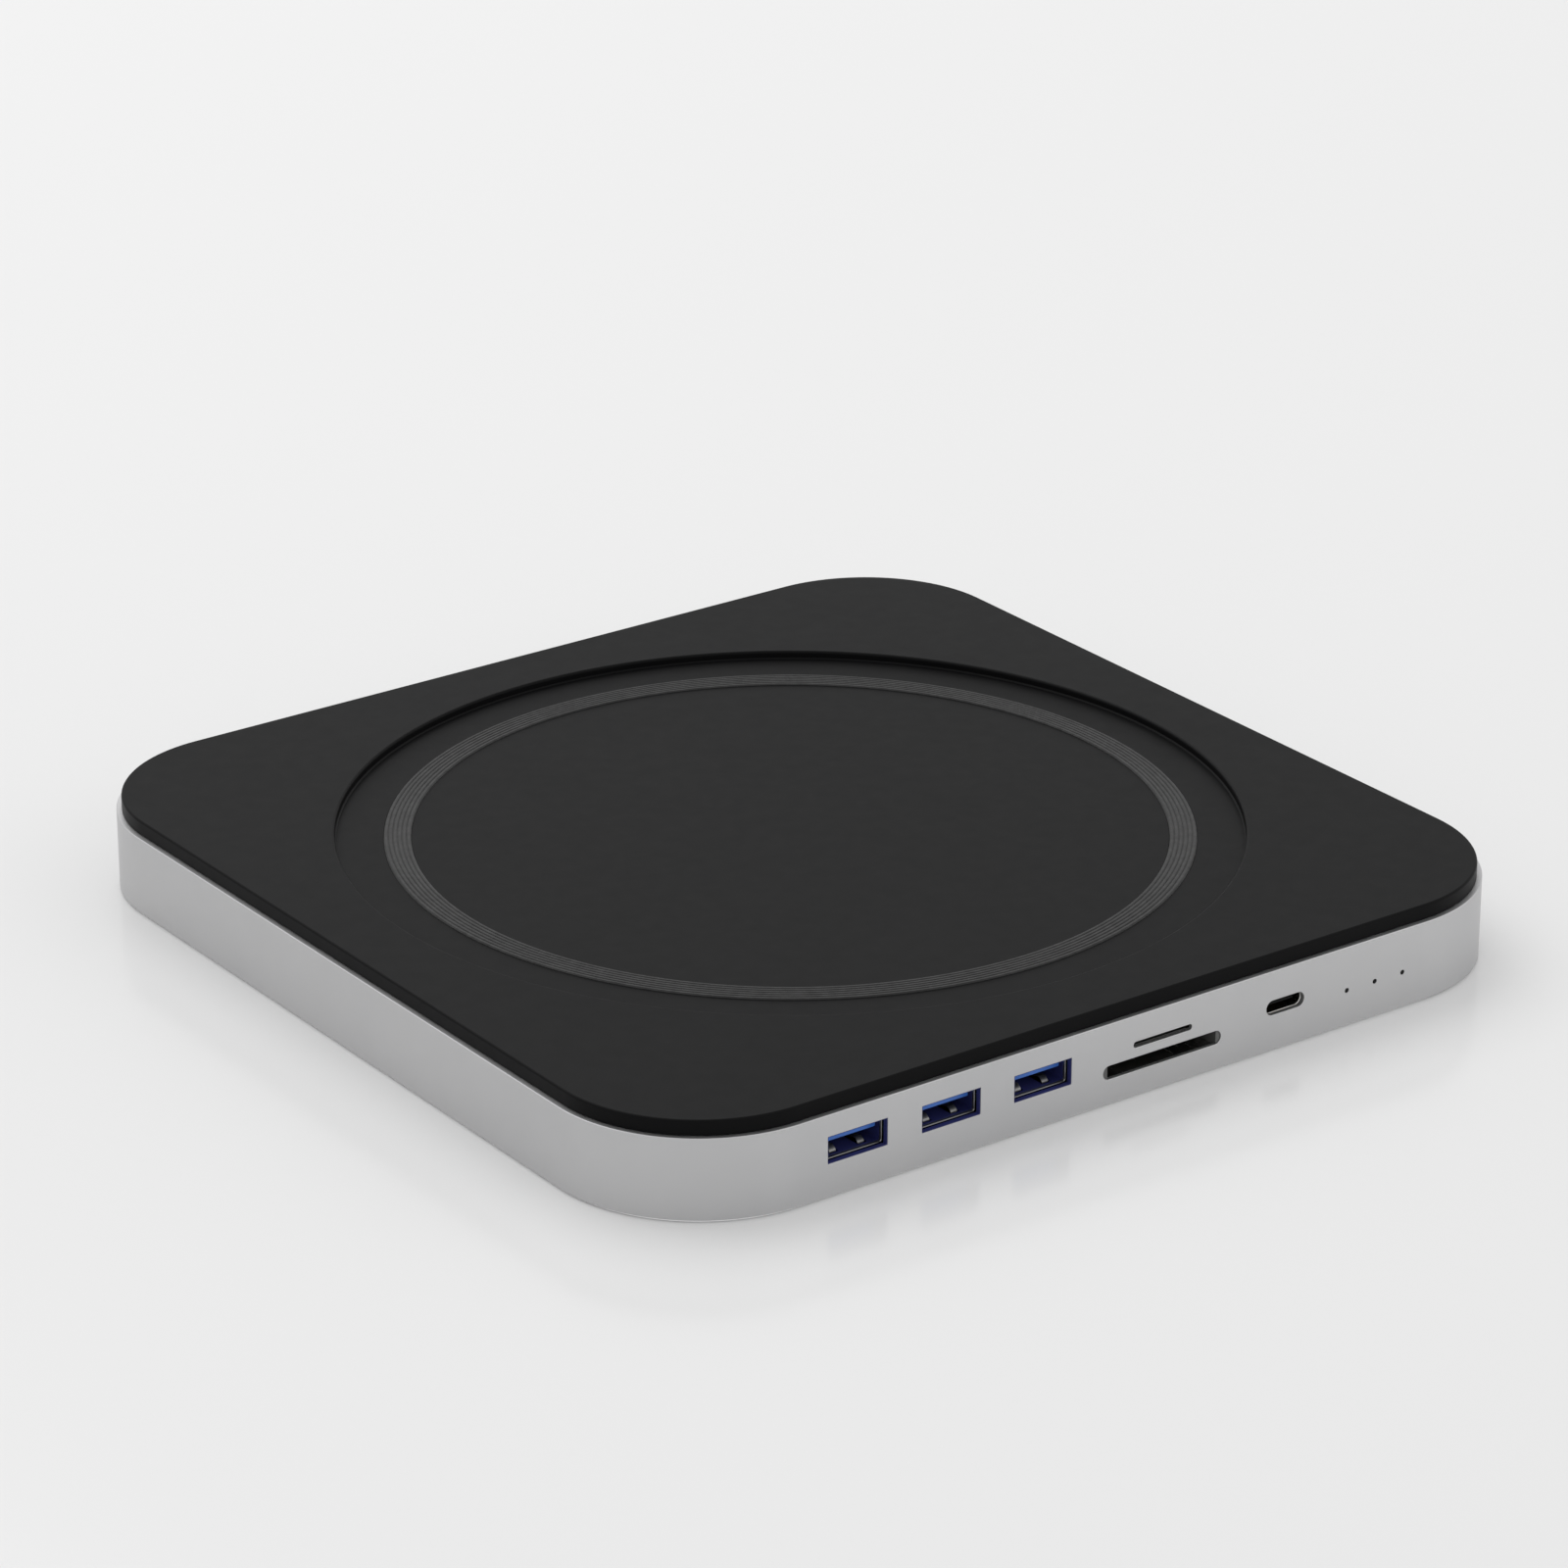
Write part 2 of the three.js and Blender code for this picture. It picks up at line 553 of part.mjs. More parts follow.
// An open-fronted socket for the cable, which enters from the +Y side.
function ffcSocket() {
  const { depth, half, height, stop, gap } = FFC;
  const [x, y] = [RIBBON.half + gap, stop - gap - depth];
  const { level, thick } = RIBBON;
  return cut(
    block(-half, half, -depth, 0, 0, height),
    block(-x, x, y, 1, level - gap, level + thick + gap),
  );
}

piece('ribbon_cable', ribbonCable(), flexOrange);
piece('ribbon_socket_front', ffcSocket(), socketPlastic).position.set(
  RIBBON.x,
  BOARD.back,
  BOARD_TOP,
);
const rearSocket = piece('ribbon_socket_rear', ffcSocket(), socketPlastic);
rearSocket.rotation.z = Math.PI;
rearSocket.position.set(RIBBON.x, REAR_BOARD.front, BOARD_TOP);

// USB-A sockets ----------------------------------------------------------------------------------

// Depths are measured from the frame's front face, which is y = 0 for the parts of a port.
const SHELL_A = { width: 12.1, height: 4.7, front: 1.7, back: USB_A_BACK }; // inside the sheet metal
const TABS_A = { front: 6, back: 10, reach: 1.6 }; // the shell's solder tabs, on both sides
const TONGUE_A = { half: 5.6, thick: 1.84, below: 0.6, front: 2.7, root: 12 };
const INSERT_BLOCK = { front: 11.5, gap: 0.05 };
const LINING = { thick: 0.12, gap: 0.05, front: 0.1, back: 1 };

// The sheet metal tube.
function usbAShell() {
  const { width, height, front, back } = SHELL_A;
  const [w, h] = [width / 2, height / 2];
  const tube = cut(
    block(-w - METAL, w + METAL, front, back, -h - METAL, h + METAL),
    block(-w, w, front - 1, back + 1, -h, h),
  );
  const shelf = BOARD_TOP - USB_A.z;
  const tabs = [-1, 1].map((side) => {
    const [x0, x1] = [side * (w + METAL / 2), side * (w + TABS_A.reach)].sort((a, b) => a - b);
    return block(x0, x1, TABS_A.front, TABS_A.back, shelf, shelf + METAL);
  });
  return join(tube, ...tabs);
}

// The blue insert: a block that closes the back and the tongue that carries the contacts.
function usbAInsert() {
  const { gap } = INSERT_BLOCK;
  const [w, h] = [SHELL_A.width / 2 - gap, SHELL_A.height / 2 - gap];
  const { half, thick, below, front, root } = TONGUE_A;
  const top = USB_A.height / 2 - below;
  return join(
    block(-w, w, INSERT_BLOCK.front, SHELL_A.back, -h, h),
    block(-half, half, front, root, top - thick, top),
  );
}

// A thin blue lining inside the opening in the frame.
function usbALining() {
  const { thick, gap, front, back } = LINING;
  const [w, h] = [USB_A.width / 2 - gap, USB_A.height / 2 - gap];
  return cut(
    block(-w, w, front, back, -h, h),
    block(thick - w, w - thick, front - 1, back + 1, thick - h, h - thick),
  );
}

USB_A.xs.forEach((x, i) => {
  const port = new THREE.Group();
  port.position.set(x, -HALF, USB_A.z);
  hub.add(port);
  piece(`usb_a_shell_${i + 1}`, usbAShell(), nickel, port);
  piece(`usb_a_insert_${i + 1}`, usbAInsert(), usbBlue, port);
  piece(`usb_a_lining_${i + 1}`, usbALining(), usbBlue, port);
});

// USB-C sockets ----------------------------------------------------------------------------------

const SOCKET_C = { width: 8.34, height: 2.56 };
const TONGUE_C = { half: 3.33, thick: 0.7, setback: 0.8 };
const TABS_C = { front: 3, back: 5.5, reach: 1.5 };

function usbCShell() {
  const at = { x: 0, z: 0 };
  const outer = {
    ...at,
    width: SOCKET_C.width + 2 * METAL,
    height: SOCKET_C.height + 2 * METAL,
  };
  const tube = cut(
    stadiumY(outer, 0, USB_C_DEPTH, 4),
    stadiumY({ ...at, ...SOCKET_C }, -1, USB_C_DEPTH + 1, 4),
  );
  const shelf = BOARD_TOP - BOARD_MID;
  const tabs = [-1, 1].map((side) => {
    const [inner, outer] = [SOCKET_C.width / 2 - 0.1, USB_C.width / 2 + TABS_C.reach];
    const [x0, x1] = [side * inner, side * outer].sort((a, b) => a - b);
    return block(x0, x1, TABS_C.front, TABS_C.back, shelf, shelf + METAL);
  });
  return join(tube, ...tabs.map((tab) => cut(tab, stadiumY({ ...at, ...SOCKET_C }, -1, 9, 4))));
}

function usbCTongue() {
  const plug = { x: 0, z: 0, width: SOCKET_C.width - 0.1, height: SOCKET_C.height - 0.1 };
  const { half, thick, setback } = TONGUE_C;
  return join(
    stadiumY(plug, USB_C_DEPTH - 2, USB_C_DEPTH, 4),
    block(-half, half, setback, USB_C_DEPTH - 1, -thick / 2, thick / 2),
  );
}

for (const [name, x, turn] of [
  ['usb_c_front', USB_C.x, 0],
  ['usb_c_host', HOST_X, Math.PI],
]) {
  const port = new THREE.Group();
  port.position.set(x, turn ? -PORT_FACE : PORT_FACE, USB_C.z);
  port.rotation.z = turn;
  hub.add(port);
  piece(`${name}_shell`, usbCShell(), nickel, port);
  piece(`${name}_tongue`, usbCTongue(), socketPlastic, port);
}

// Card sockets -----------------------------------------------------------------------------------

const SD_DEPTH = 28;
const SD_SLOT = { half: 12.15, high: SD.z + 1.2 };
const SD_BODY = { half: 14, low: SD.z - 1.55 };
const SD_HORN = { setback: 0.2, gap: 0.08 };

// Plastic body under the board, with the slot for the card. Two horns on its front fill the round
// ends of the opening in the frame.
function sdSocketBase() {
  const { half, low } = SD_BODY;
  const { setback, gap } = SD_HORN;
  const back = PORT_FACE + SD_DEPTH;
  const slot = [-SD_SLOT.half, SD_SLOT.half];
  const nose = { x: 0, z: SD.z, width: SD.width - 2 * gap, height: SD.height - 2 * gap };
  const body = cut(
    block(-half, half, PORT_FACE, back, low, BOARD_LOW),
    block(...slot, PORT_FACE - 1, back - 3, low - 1, SD_SLOT.high),
  );
  const horns = cut(
    stadiumY(nose, -HALF + setback, PORT_FACE + 0.5, 5),
    block(...slot, -HALF - 1, PORT_FACE + 1, low - 1, SD.z + SD.height),
  );
  return join(body, horns);
}

// Sheet metal cover, folded up along both sides of the body.
function sdSocketShell() {
  const [half, low] = [SD_BODY.half + 0.05, SD_BODY.low - MEET];
  const [front, back] = [PORT_FACE + 0.3, PORT_FACE + SD_DEPTH - 0.3];
  return cut(
    block(-half - METAL, half + METAL, front, back, low - METAL, BOARD_LOW - MEET),
    block(-half, half, front - 1, back + 1, low, BOARD_LOW + 1),
  );
}

piece('sd_socket_base', sdSocketBase(), socketPlastic).position.x = SD.x;
piece('sd_socket_shell', sdSocketShell(), nickel).position.x = SD.x;

const MICRO = { half: 7.4, back: PORT_FACE + 14.4, high: BOARD_TOP + 1.9, sheet: 0.2 };
const SLIDER = {
  x0: 5.9,
  x1: 6.7,
  front: -91.9,
  back: -86.1,
  low: BOARD_TOP + 0.5,
  high: BOARD_TOP + 1.3,
  finger: 4.6,
};

function microSdShell() {
  const { half, back, high, sheet } = MICRO;
  return cut(
    block(-half, half, PORT_FACE, back, BOARD_TOP, high),
    block(-half + sheet, half - sheet, PORT_FACE - 1, back + 1, BOARD_TOP - 1, high - sheet),
  );
}

function microSdBase() {
  const half = MICRO.half - MICRO.sheet - MEET;
  const [front, back, high] = [PORT_FACE + 0.1, MICRO.back - 0.1, MICRO.high - MICRO.sheet - 0.05];
  return join(
    block(-half, half, front, back, BOARD_TOP, BOARD_TOP + 0.2),
    block(-half, half, back - 1, back, BOARD_TOP, high),
    block(-half, -half + 1.2, front, back, BOARD_TOP, high),
  );
}

// The push-push slider, which a card's rear edge moves backwards against its spring.
function microSdSlider() {
  const { x0, x1, front, back, low, high, finger } = SLIDER;
  return join(
    block(x0, x1, front, back, low, high),
    block(finger, x0 + 0.2, back - 1, back, low, high),
  );
}

piece('microsd_socket_shell', microSdShell(), nickel).position.x = MICRO_SD.x;
piece('microsd_socket_base', microSdBase(), socketPlastic).position.x = MICRO_SD.x;
piece('microsd_push_slider', microSdSlider(), steel).position.x = MICRO_SD.x;

// Status lights ----------------------------------------------------------------------------------

const GUIDE = {
  tip: 0.15 - HALF,
  front: PORT_FACE + 0.1,
  back: -94.4,
  low: BOARD_LOW - 1.2,
  high: BOARD_LOW - 0.1,
  margin: 1.2,
  pin: LEDS.radius - 0.05,
};
const LED_CHIP = { half: 0.8, depth: 0.8, height: 0.9 };

function lightGuide() {
  const { tip, front, back, low, high, margin, pin } = GUIDE;
  const bar = block(LEDS.xs[0] - margin, LEDS.xs[2] + margin, front, back, low, high);
  const pins = LEDS.xs.map((x) => barY(x, LEDS.z, pin, tip, front + 0.5, 12));
  return join(bar, ...pins);
}

piece('light_guide', lightGuide(), clearGuide);
['led_power', 'led_drive', 'led_card'].forEach((name, i) => {
  const { half, depth, height } = LED_CHIP;
  const chip = block(-half, half, 0, depth, -height, 0);
  piece(name, chip, ledWhite).position.set(LEDS.xs[i], GUIDE.back + 0.1, BOARD_LOW);
});

export default hub;
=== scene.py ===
import math
import random

import bmesh
import bpy
from mathutils import Matrix, Vector


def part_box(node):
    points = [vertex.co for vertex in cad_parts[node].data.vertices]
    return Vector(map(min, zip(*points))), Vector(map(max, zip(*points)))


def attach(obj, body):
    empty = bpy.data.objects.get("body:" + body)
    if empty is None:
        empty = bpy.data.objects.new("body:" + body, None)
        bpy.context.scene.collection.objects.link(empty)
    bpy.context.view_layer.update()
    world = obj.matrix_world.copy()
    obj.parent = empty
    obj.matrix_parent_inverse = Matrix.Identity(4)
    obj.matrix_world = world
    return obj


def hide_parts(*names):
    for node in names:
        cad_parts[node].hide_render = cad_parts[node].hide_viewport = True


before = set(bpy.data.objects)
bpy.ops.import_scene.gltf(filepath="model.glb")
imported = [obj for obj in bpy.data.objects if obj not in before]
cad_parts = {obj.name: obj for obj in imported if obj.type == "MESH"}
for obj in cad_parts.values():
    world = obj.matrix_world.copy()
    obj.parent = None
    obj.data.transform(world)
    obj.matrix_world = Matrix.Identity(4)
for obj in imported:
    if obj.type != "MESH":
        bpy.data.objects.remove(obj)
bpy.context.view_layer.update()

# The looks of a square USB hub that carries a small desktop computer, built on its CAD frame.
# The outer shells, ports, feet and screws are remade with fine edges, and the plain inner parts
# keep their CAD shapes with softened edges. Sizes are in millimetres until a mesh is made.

MM = 0.001
BODY = "hub_body"


# Sizes --------------------------------------------------------------------------------------------


def span(node):
    """Lowest and highest corner of a CAD node, in millimetres."""
    low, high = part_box(node)
    return low / MM, high / MM


FRAME_LOW, FRAME_HIGH = span("side_frame")
TRAY_TOP = span("top_tray")[1].z
BASE_LOW = span("base_plate")[0].z
BASE_TOP = BASE_LOW + 1.7  # the top of its sheet, without the posts
BOARD_LOW, BOARD_TOP = (corner.z for corner in span("main_board"))
BOARD_MID = (BOARD_LOW + BOARD_TOP) / 2
HALF = FRAME_HIGH.x  # half of the frame's width and depth
FACE = -HALF  # the front face
CORNER = 29  # the frame's outer corner radius
WALL = 2
PORT_WALL = 0.8  # the walls where a pocket thins them behind the ports
POCKET = {"z": (BASE_TOP + 1.2, BASE_TOP + 10.4), "front_half": 68, "host_half": 8}
CORNER_STEPS = 28
SCREW_AT = 86  # the case screws' distance from the middle, both ways
BOSS_TOP = FRAME_HIGH.z - 2.7  # where the frame's screw bosses meet the tray's
CHAMFER = 0.05  # round each opening in the frame

# the openings in the frame
USB_A = {"width": 12.5, "height": 5.1}
SD = {"x": 8.35, "z": BOARD_MID - 2.17, "width": 26.4, "height": 2.6}
MICRO_SD = {"x": 8.35, "z": BOARD_MID + 1.52, "width": 13.1, "height": 1.15}
USB_C = {"x": 36.25, "z": BOARD_MID, "width": 8.7, "height": 2.85}
HOST = {**USB_C, "x": 40}  # the rear one, to the computer
PINHOLES = {"xs": (50.6, 57.15, 63.7), "z": BOARD_MID - 1.35, "radius": 0.46}


# Meshes -------------------------------------------------------------------------------------------


def rounded(width, depth, radius, steps, centre=(0, 0)):
    """A rectangle with round corners, as points in a plane, anticlockwise."""
    points = []
    for quarter, (sx, sy) in enumerate(((1, 1), (-1, 1), (-1, -1), (1, -1))):
        cx = centre[0] + sx * (width / 2 - radius)
        cy = centre[1] + sy * (depth / 2 - radius)
        for i in range(steps + 1):
            angle = math.pi / 2 * (quarter + i / steps)
            points.append((cx + radius * math.cos(angle), cy + radius * math.sin(angle)))
    return points


def circle(radius, steps, centre=(0, 0)):
    """A circle, as points in a plane, anticlockwise."""
    turns = [2 * math.pi * i / steps for i in range(steps)]
    return [(centre[0] + radius * math.cos(a), centre[1] + radius * math.sin(a)) for a in turns]


def footprint(inset):
    """The hub's square outline, brought in by inset on every side."""
    side = 2 * (HALF - inset)
    return rounded(side, side, CORNER - inset, CORNER_STEPS)


def at_z(points, z):
    """Points given as x and y, at one z."""
    return [(x, y, z) for x, y in points]


def at_y(points, y):
    """Points given as x and z, at one y."""
    return [(x, y, z) for x, z in points]


def loft(bm, loops, ring=False):
    """Skins a row of loops with equal counts. A ring closes on itself; other rows get two caps."""
    rows = [[bm.verts.new(point) for point in loop] for loop in loops]
    for first, second in zip(rows, rows[1:] + (rows[:1] if ring else [])):
        for i in range(len(first)):
            j = (i + 1) % len(first)
            bm.faces.new((first[i], first[j], second[j], second[i]))
    if not ring:
        bm.faces.new(rows[0][::-1])
        bm.faces.new(rows[-1])


def stack(bm, rows, outline, at=at_z, ring=False):
    """Skins outline(inset) at each level, for rows of (inset, level)."""
    loft(bm, [at(outline(inset), level) for inset, level in rows], ring)


def box(bm, x0, x1, y0, y1, z0, z1):
    outline = [(x0, y0), (x1, y0), (x1, y1), (x0, y1)]
    loft(bm, [at_z(outline, z0), at_z(outline, z1)])


def lathe(bm, profile, steps, centre=(0, 0), ring=False):
    """Turns a profile of (radius, z) about an upright axis. A profile with two ends gets caps."""
    loft(bm, [at_z(circle(r, steps, centre), z) for r, z in profile], ring)


def edge_round(outer, inner, z0, z1, towards_top=True, steps=4):
    """Insets and heights that follow a quarter round between two insets."""
    rows = []
    for i in range(steps + 1):
        angle = math.pi / 2 * i / steps
        if towards_top:
            inset = outer + (inner - outer) * (1 - math.cos(angle))
            rise = math.sin(angle)
        else:
            inset = inner + (outer - inner) * math.sin(angle)
            rise = 1 - math.cos(angle)
        rows.append((inset, z0 + (z1 - z0) * rise))
    return rows


def mesh_object(name, build):
    """A new object whose mesh build(bm) makes in millimetres."""
    bm = bmesh.new()
    build(bm)
    bmesh.ops.recalc_face_normals(bm, faces=bm.faces)
    bmesh.ops.scale(bm, vec=(MM, MM, MM), verts=bm.verts)
    mesh = bpy.data.meshes.new(name)
    bm.to_mesh(mesh)
    bm.free()
    obj = bpy.data.objects.new(name, mesh)
    bpy.context.scene.collection.objects.link(obj)
    return obj


def settle(obj):
    """Replaces the object's mesh with what its modifiers make of it."""
    graph = bpy.context.evaluated_depsgraph_get()
    made = bpy.data.meshes.new_from_object(obj.evaluated_get(graph))
    old = obj.data
    obj.modifiers.clear()
    obj.data = made
    bpy.data.meshes.remove(old)


def combine(obj, operation, *builders):
    """Cuts or joins each builder's solid, one after another. operation is DIFFERENCE or UNION."""
    for i, build in enumerate(builders):
        tool = mesh_object(f"{obj.name}_tool_{i}", build)
        modifier = obj.modifiers.new("tool", "BOOLEAN")
        modifier.operation = operation
        modifier.solver = "EXACT"
        modifier.object = tool
        settle(obj)
        bpy.data.objects.remove(tool)
    return obj


def carve(obj, *builders):
    return combine(obj, "DIFFERENCE", *builders)


def fuse(obj, *builders):
    return combine(obj, "UNION", *builders)


def shade(obj, sharp_degrees=34):
    """Smooth shading with crisp edges, where large faces keep their own normals."""
    mesh = obj.data
    mesh.polygons.foreach_set("use_smooth", [True] * len(mesh.polygons))
    mesh.set_sharp_from_angle(angle=math.radians(sharp_degrees))
    weighted = obj.modifiers.new("weighted_normals", "WEIGHTED_NORMAL")
    weighted.keep_sharp = True


def place(obj, material, replaces=(), body=BODY):
    """Gives a new piece its material and slot, and the body and CAD nodes that it belongs to."""
    obj.data.materials.clear()
    obj.data.materials.append(material)
    shade(obj)
    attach(obj, body)
    if replaces:
        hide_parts(*replaces)
    return obj


def soften(node, material, width, segments=2):
    """Keeps a CAD node, and gives it a material and edges softened over width millimetres."""
    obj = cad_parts[node]
    obj.data.materials.clear()
    obj.data.materials.append(material)
    weld = obj.modifiers.new("weld", "WELD")
    weld.merge_threshold = 1e-6
    flat = obj.modifiers.new("flat", "DECIMATE")
    flat.decimate_type = "DISSOLVE"
    flat.angle_limit = math.radians(1)
    bevel = obj.modifiers.new("bevel", "BEVEL")
    bevel.width = width * MM
    bevel.segments = segments
    bevel.limit_method = "ANGLE"
    bevel.angle_limit = math.radians(40)


# Materials ----------------------------------------------------------------------------------------


class Shader:
    """A Principled material with procedural detail, in the object's own coordinates."""

    def __init__(self, name, colour, roughness, metallic=0.0, **sockets):
        self.material = bpy.data.materials.new(name)
        self.material.use_nodes = True
        self.nodes = self.material.node_tree.nodes
        self.links = self.material.node_tree.links
        self.surface = self.nodes["Principled BSDF"]
        self.colour = colour
        self.roughness = roughness
        self.surface.inputs["Base Color"].default_value = (*colour, 1)
        self.surface.inputs["Roughness"].default_value = roughness
        self.surface.inputs["Metallic"].default_value = metallic
        for socket, value in sockets.items():
            self.surface.inputs[socket.replace("_", " ")].default_value = value
        self.coords = self.nodes.new("ShaderNodeTexCoord").outputs["Object"]
        self.height = None

    def noise(self, size, detail=2.0, stretch=(1, 1, 1)):
        """Noise whose features are about size millimetres across."""
        mapping = self.nodes.new("ShaderNodeMapping")
        mapping.inputs["Scale"].default_value = stretch
        self.links.new(self.coords, mapping.inputs["Vector"])
        texture = self.nodes.new("ShaderNodeTexNoise")
        texture.inputs["Scale"].default_value = 1 / (size * MM)
        texture.inputs["Detail"].default_value = detail
        self.links.new(mapping.outputs["Vector"], texture.inputs["Vector"])
        return texture.outputs["Fac"]

    def cells(self, size):
        """Open cells about size millimetres across."""
        texture = self.nodes.new("ShaderNodeTexVoronoi")
        texture.inputs["Scale"].default_value = 1 / (size * MM)
        self.links.new(self.coords, texture.inputs["Vector"])
        return texture.outputs["Distance"]

    def tint(self, factor, spread, warm=0.0):
        """Colour that drifts by spread, as a share of itself, with factor."""
        ramp = self.nodes.new("ShaderNodeValToRGB")
        for element, sign, position in zip(ramp.color_ramp.elements, (-1, 1), (0.35, 0.65)):
            element.position = position
            red, green, blue = (c * (1 + sign * spread) for c in self.colour)
            element.color = (red * (1 + sign * warm), green, blue * (1 - sign * warm), 1)
        self.links.new(factor, ramp.inputs["Fac"])
        self.links.new(ramp.outputs["Color"], self.surface.inputs["Base Color"])
        return self

    def wear(self, factor, spread):
        """Roughness that drifts by spread on either side of its value."""
        remap = self.nodes.new("ShaderNodeMapRange")
        remap.inputs["From Min"].default_value = 0.3
        remap.inputs["From Max"].default_value = 0.7
        remap.inputs["To Min"].default_value = self.roughness - spread
        remap.inputs["To Max"].default_value = self.roughness + spread
        self.links.new(factor, remap.inputs["Value"])
        self.links.new(remap.outputs["Result"], self.surface.inputs["Roughness"])
        return self

    def bump(self, factor, depth, strength=1.0):
        """Relief about depth millimetres deep. Each call adds to the last."""
        bump = self.nodes.new("ShaderNodeBump")
        bump.inputs["Distance"].default_value = depth * MM
        bump.inputs["Strength"].default_value = strength
        self.links.new(factor, bump.inputs["Height"])
        if self.height:
            self.links.new(self.height, bump.inputs["Normal"])
        self.height = bump.outputs["Normal"]
        self.links.new(self.height, self.surface.inputs["Normal"])
        return self


def anodised_aluminium():
    """Bead-blasted, clear anodised: a fine even grain and a very slight drift in tone."""
    s = Shader("anodised_aluminium", (0.57, 0.57, 0.575), 0.48, 1.0)
    s.tint(s.noise(45, 3), 0.012, 0.002).wear(s.noise(9, 4), 0.02)
    return s.bump(s.noise(0.16, 3), 0.006, 0.5).material


def black_abs(name, gloss):
    """Moulded black plastic with a fine spark-eroded texture."""
    s = Shader(name, (0.0035, 0.0035, 0.0037), 0.46, 0.0, Specular_IOR_Level=gloss)
    s.tint(s.noise(12, 3), 0.05).wear(s.noise(3.5, 4), 0.015)
    return s.bump(s.noise(0.22, 2), 0.008, 0.5).material


def socket_nylon():
    s = Shader("socket_nylon", (0.030, 0.030, 0.030), 0.42)
    s.tint(s.noise(4, 3), 0.15).wear(s.noise(1.5, 3), 0.06)
    return s.bump(s.noise(0.12, 2), 0.005, 0.5).material


def card_nylon_painted_sheen():
    # a lighter grey than the socket nylon, which paints the sheen along the card slots' floors
    s = Shader("card_nylon_painted_sheen", (0.090, 0.090, 0.088), 0.38)
    s.tint(s.noise(4, 3), 0.1).wear(s.noise(1.5, 3), 0.06)
    return s.bump(s.noise(0.12, 2), 0.005, 0.5).material


def usb_blue():
    s = Shader("usb_blue", (0.050, 0.175, 0.620), 0.34)
    s.tint(s.noise(5, 2), 0.06).wear(s.noise(1.8, 3), 0.05)
    return s.bump(s.noise(0.15, 2), 0.003, 0.4).material


def usb_blue_painted_shade():
    """The same blue plastic made darker as painted shade, for the thin skirts and linings inside
    the sockets.
    """
    s = Shader("usb_blue_painted_shade", (0.030, 0.034, 0.140), 0.36)
    s.tint(s.noise(5, 2), 0.08).wear(s.noise(1.8, 3), 0.05)
    return s.bump(s.noise(0.15, 2), 0.003, 0.4).material


def nickel_plate():
    """Plated sheet steel with faint rolling marks."""
    s = Shader("nickel_plate", (0.60, 0.59, 0.57), 0.22, 1.0)
    s.tint(s.noise(6, 3), 0.04).wear(s.noise(0.35, 3, (1, 0.08, 1)), 0.06)
    return s.bump(s.noise(0.10, 2, (1, 0.06, 1)), 0.0015, 0.4).material


def dull_nickel():
    """Thicker, duller plating, for the USB-A shells and their springs."""
    s = Shader("dull_nickel", (0.24, 0.24, 0.235), 0.42, 1.0)
    s.tint(s.noise(3, 3), 0.05).wear(s.noise(0.3, 3, (1, 0.08, 1)), 0.06)
    return s.bump(s.noise(0.10, 2, (1, 0.06, 1)), 0.0015, 0.4).material


def gold_contact():
    s = Shader("gold_contact", (0.78, 0.52, 0.20), 0.24, 1.0)
    s.tint(s.noise(1.5, 2), 0.06).wear(s.noise(0.3, 3), 0.06)
    return s.bump(s.noise(0.08, 2), 0.001, 0.4).material


def screw_steel():
    """Blackened screw steel, worn brighter in places."""
    s = Shader("screw_steel", (0.20, 0.20, 0.205), 0.33, 1.0)
    s.tint(s.noise(0.8, 4), 0.22).wear(s.noise(0.4, 4), 0.08)
    return s.bump(s.noise(0.12, 3), 0.003, 0.5).material


def plain_steel():
    s = Shader("plain_steel", (0.50, 0.50, 0.49), 0.28, 1.0)
    s.tint(s.noise(2.5, 3), 0.05).wear(s.noise(0.25, 3, (0.1, 1, 1)), 0.08)
    return s.bump(s.noise(0.09, 2, (0.1, 1, 1)), 0.002, 0.5).material


def circuit_board():
    """Green solder mask over copper, whose pattern of planes shows through as a lighter green."""
    s = Shader("circuit_board", (0.006, 0.055, 0.022), 0.28, 0.0, Coat_Weight=0.4)
    brick = s.nodes.new("ShaderNodeTexBrick")
    brick.inputs["Scale"].default_value = 1 / (6 * MM)
    brick.inputs["Mortar Size"].default_value = 0.035
    brick.inputs["Color1"].default_value = (0.008, 0.075, 0.030, 1)
    brick.inputs["Color2"].default_value = (0.005, 0.052, 0.020, 1)
    brick.inputs["Mortar"].default_value = (0.003, 0.030, 0.012, 1)
    s.links.new(s.coords, brick.inputs["Vector"])
    s.links.new(brick.outputs["Color"], s.surface.inputs["Base Color"])
    s.wear(s.noise(2, 3), 0.05)
    return s.bump(brick.outputs["Fac"], 0.02, 0.4).bump(s.noise(0.3, 2), 0.002, 0.3).material


def chip_epoxy():
    s = Shader("chip_epoxy", (0.014, 0.014, 0.015), 0.55)
    s.tint(s.noise(2, 3), 0.15).wear(s.noise(1, 3), 0.06)
    return s.bump(s.noise(0.09, 2), 0.006, 0.6).material


def silicone_rubber():
    s = Shader("silicone_rubber", (0.010, 0.010, 0.010), 0.72, 0.0, Sheen_Weight=0.12)
    s.tint(s.noise(3, 4), 0.2).wear(s.noise(1.2, 3), 0.08)
    return s.bump(s.noise(0.25, 3), 0.012, 0.6).material


def open_foam():
    """Charcoal foam, whose cut surface is a mass of small open cells, each painted darker towards
    its middle as shade in the hollow.
    """
    s = Shader("open_foam", (0.028, 0.028, 0.030), 0.95, 0.0, Sheen_Weight=0.25)
    # the cells darken the colour towards their middles: painted shade in the pits
    s.tint(s.cells(0.7), 0.45)
    return s.bump(s.cells(0.7), 0.25, 0.9).bump(s.noise(0.25, 3), 0.05, 0.5).material


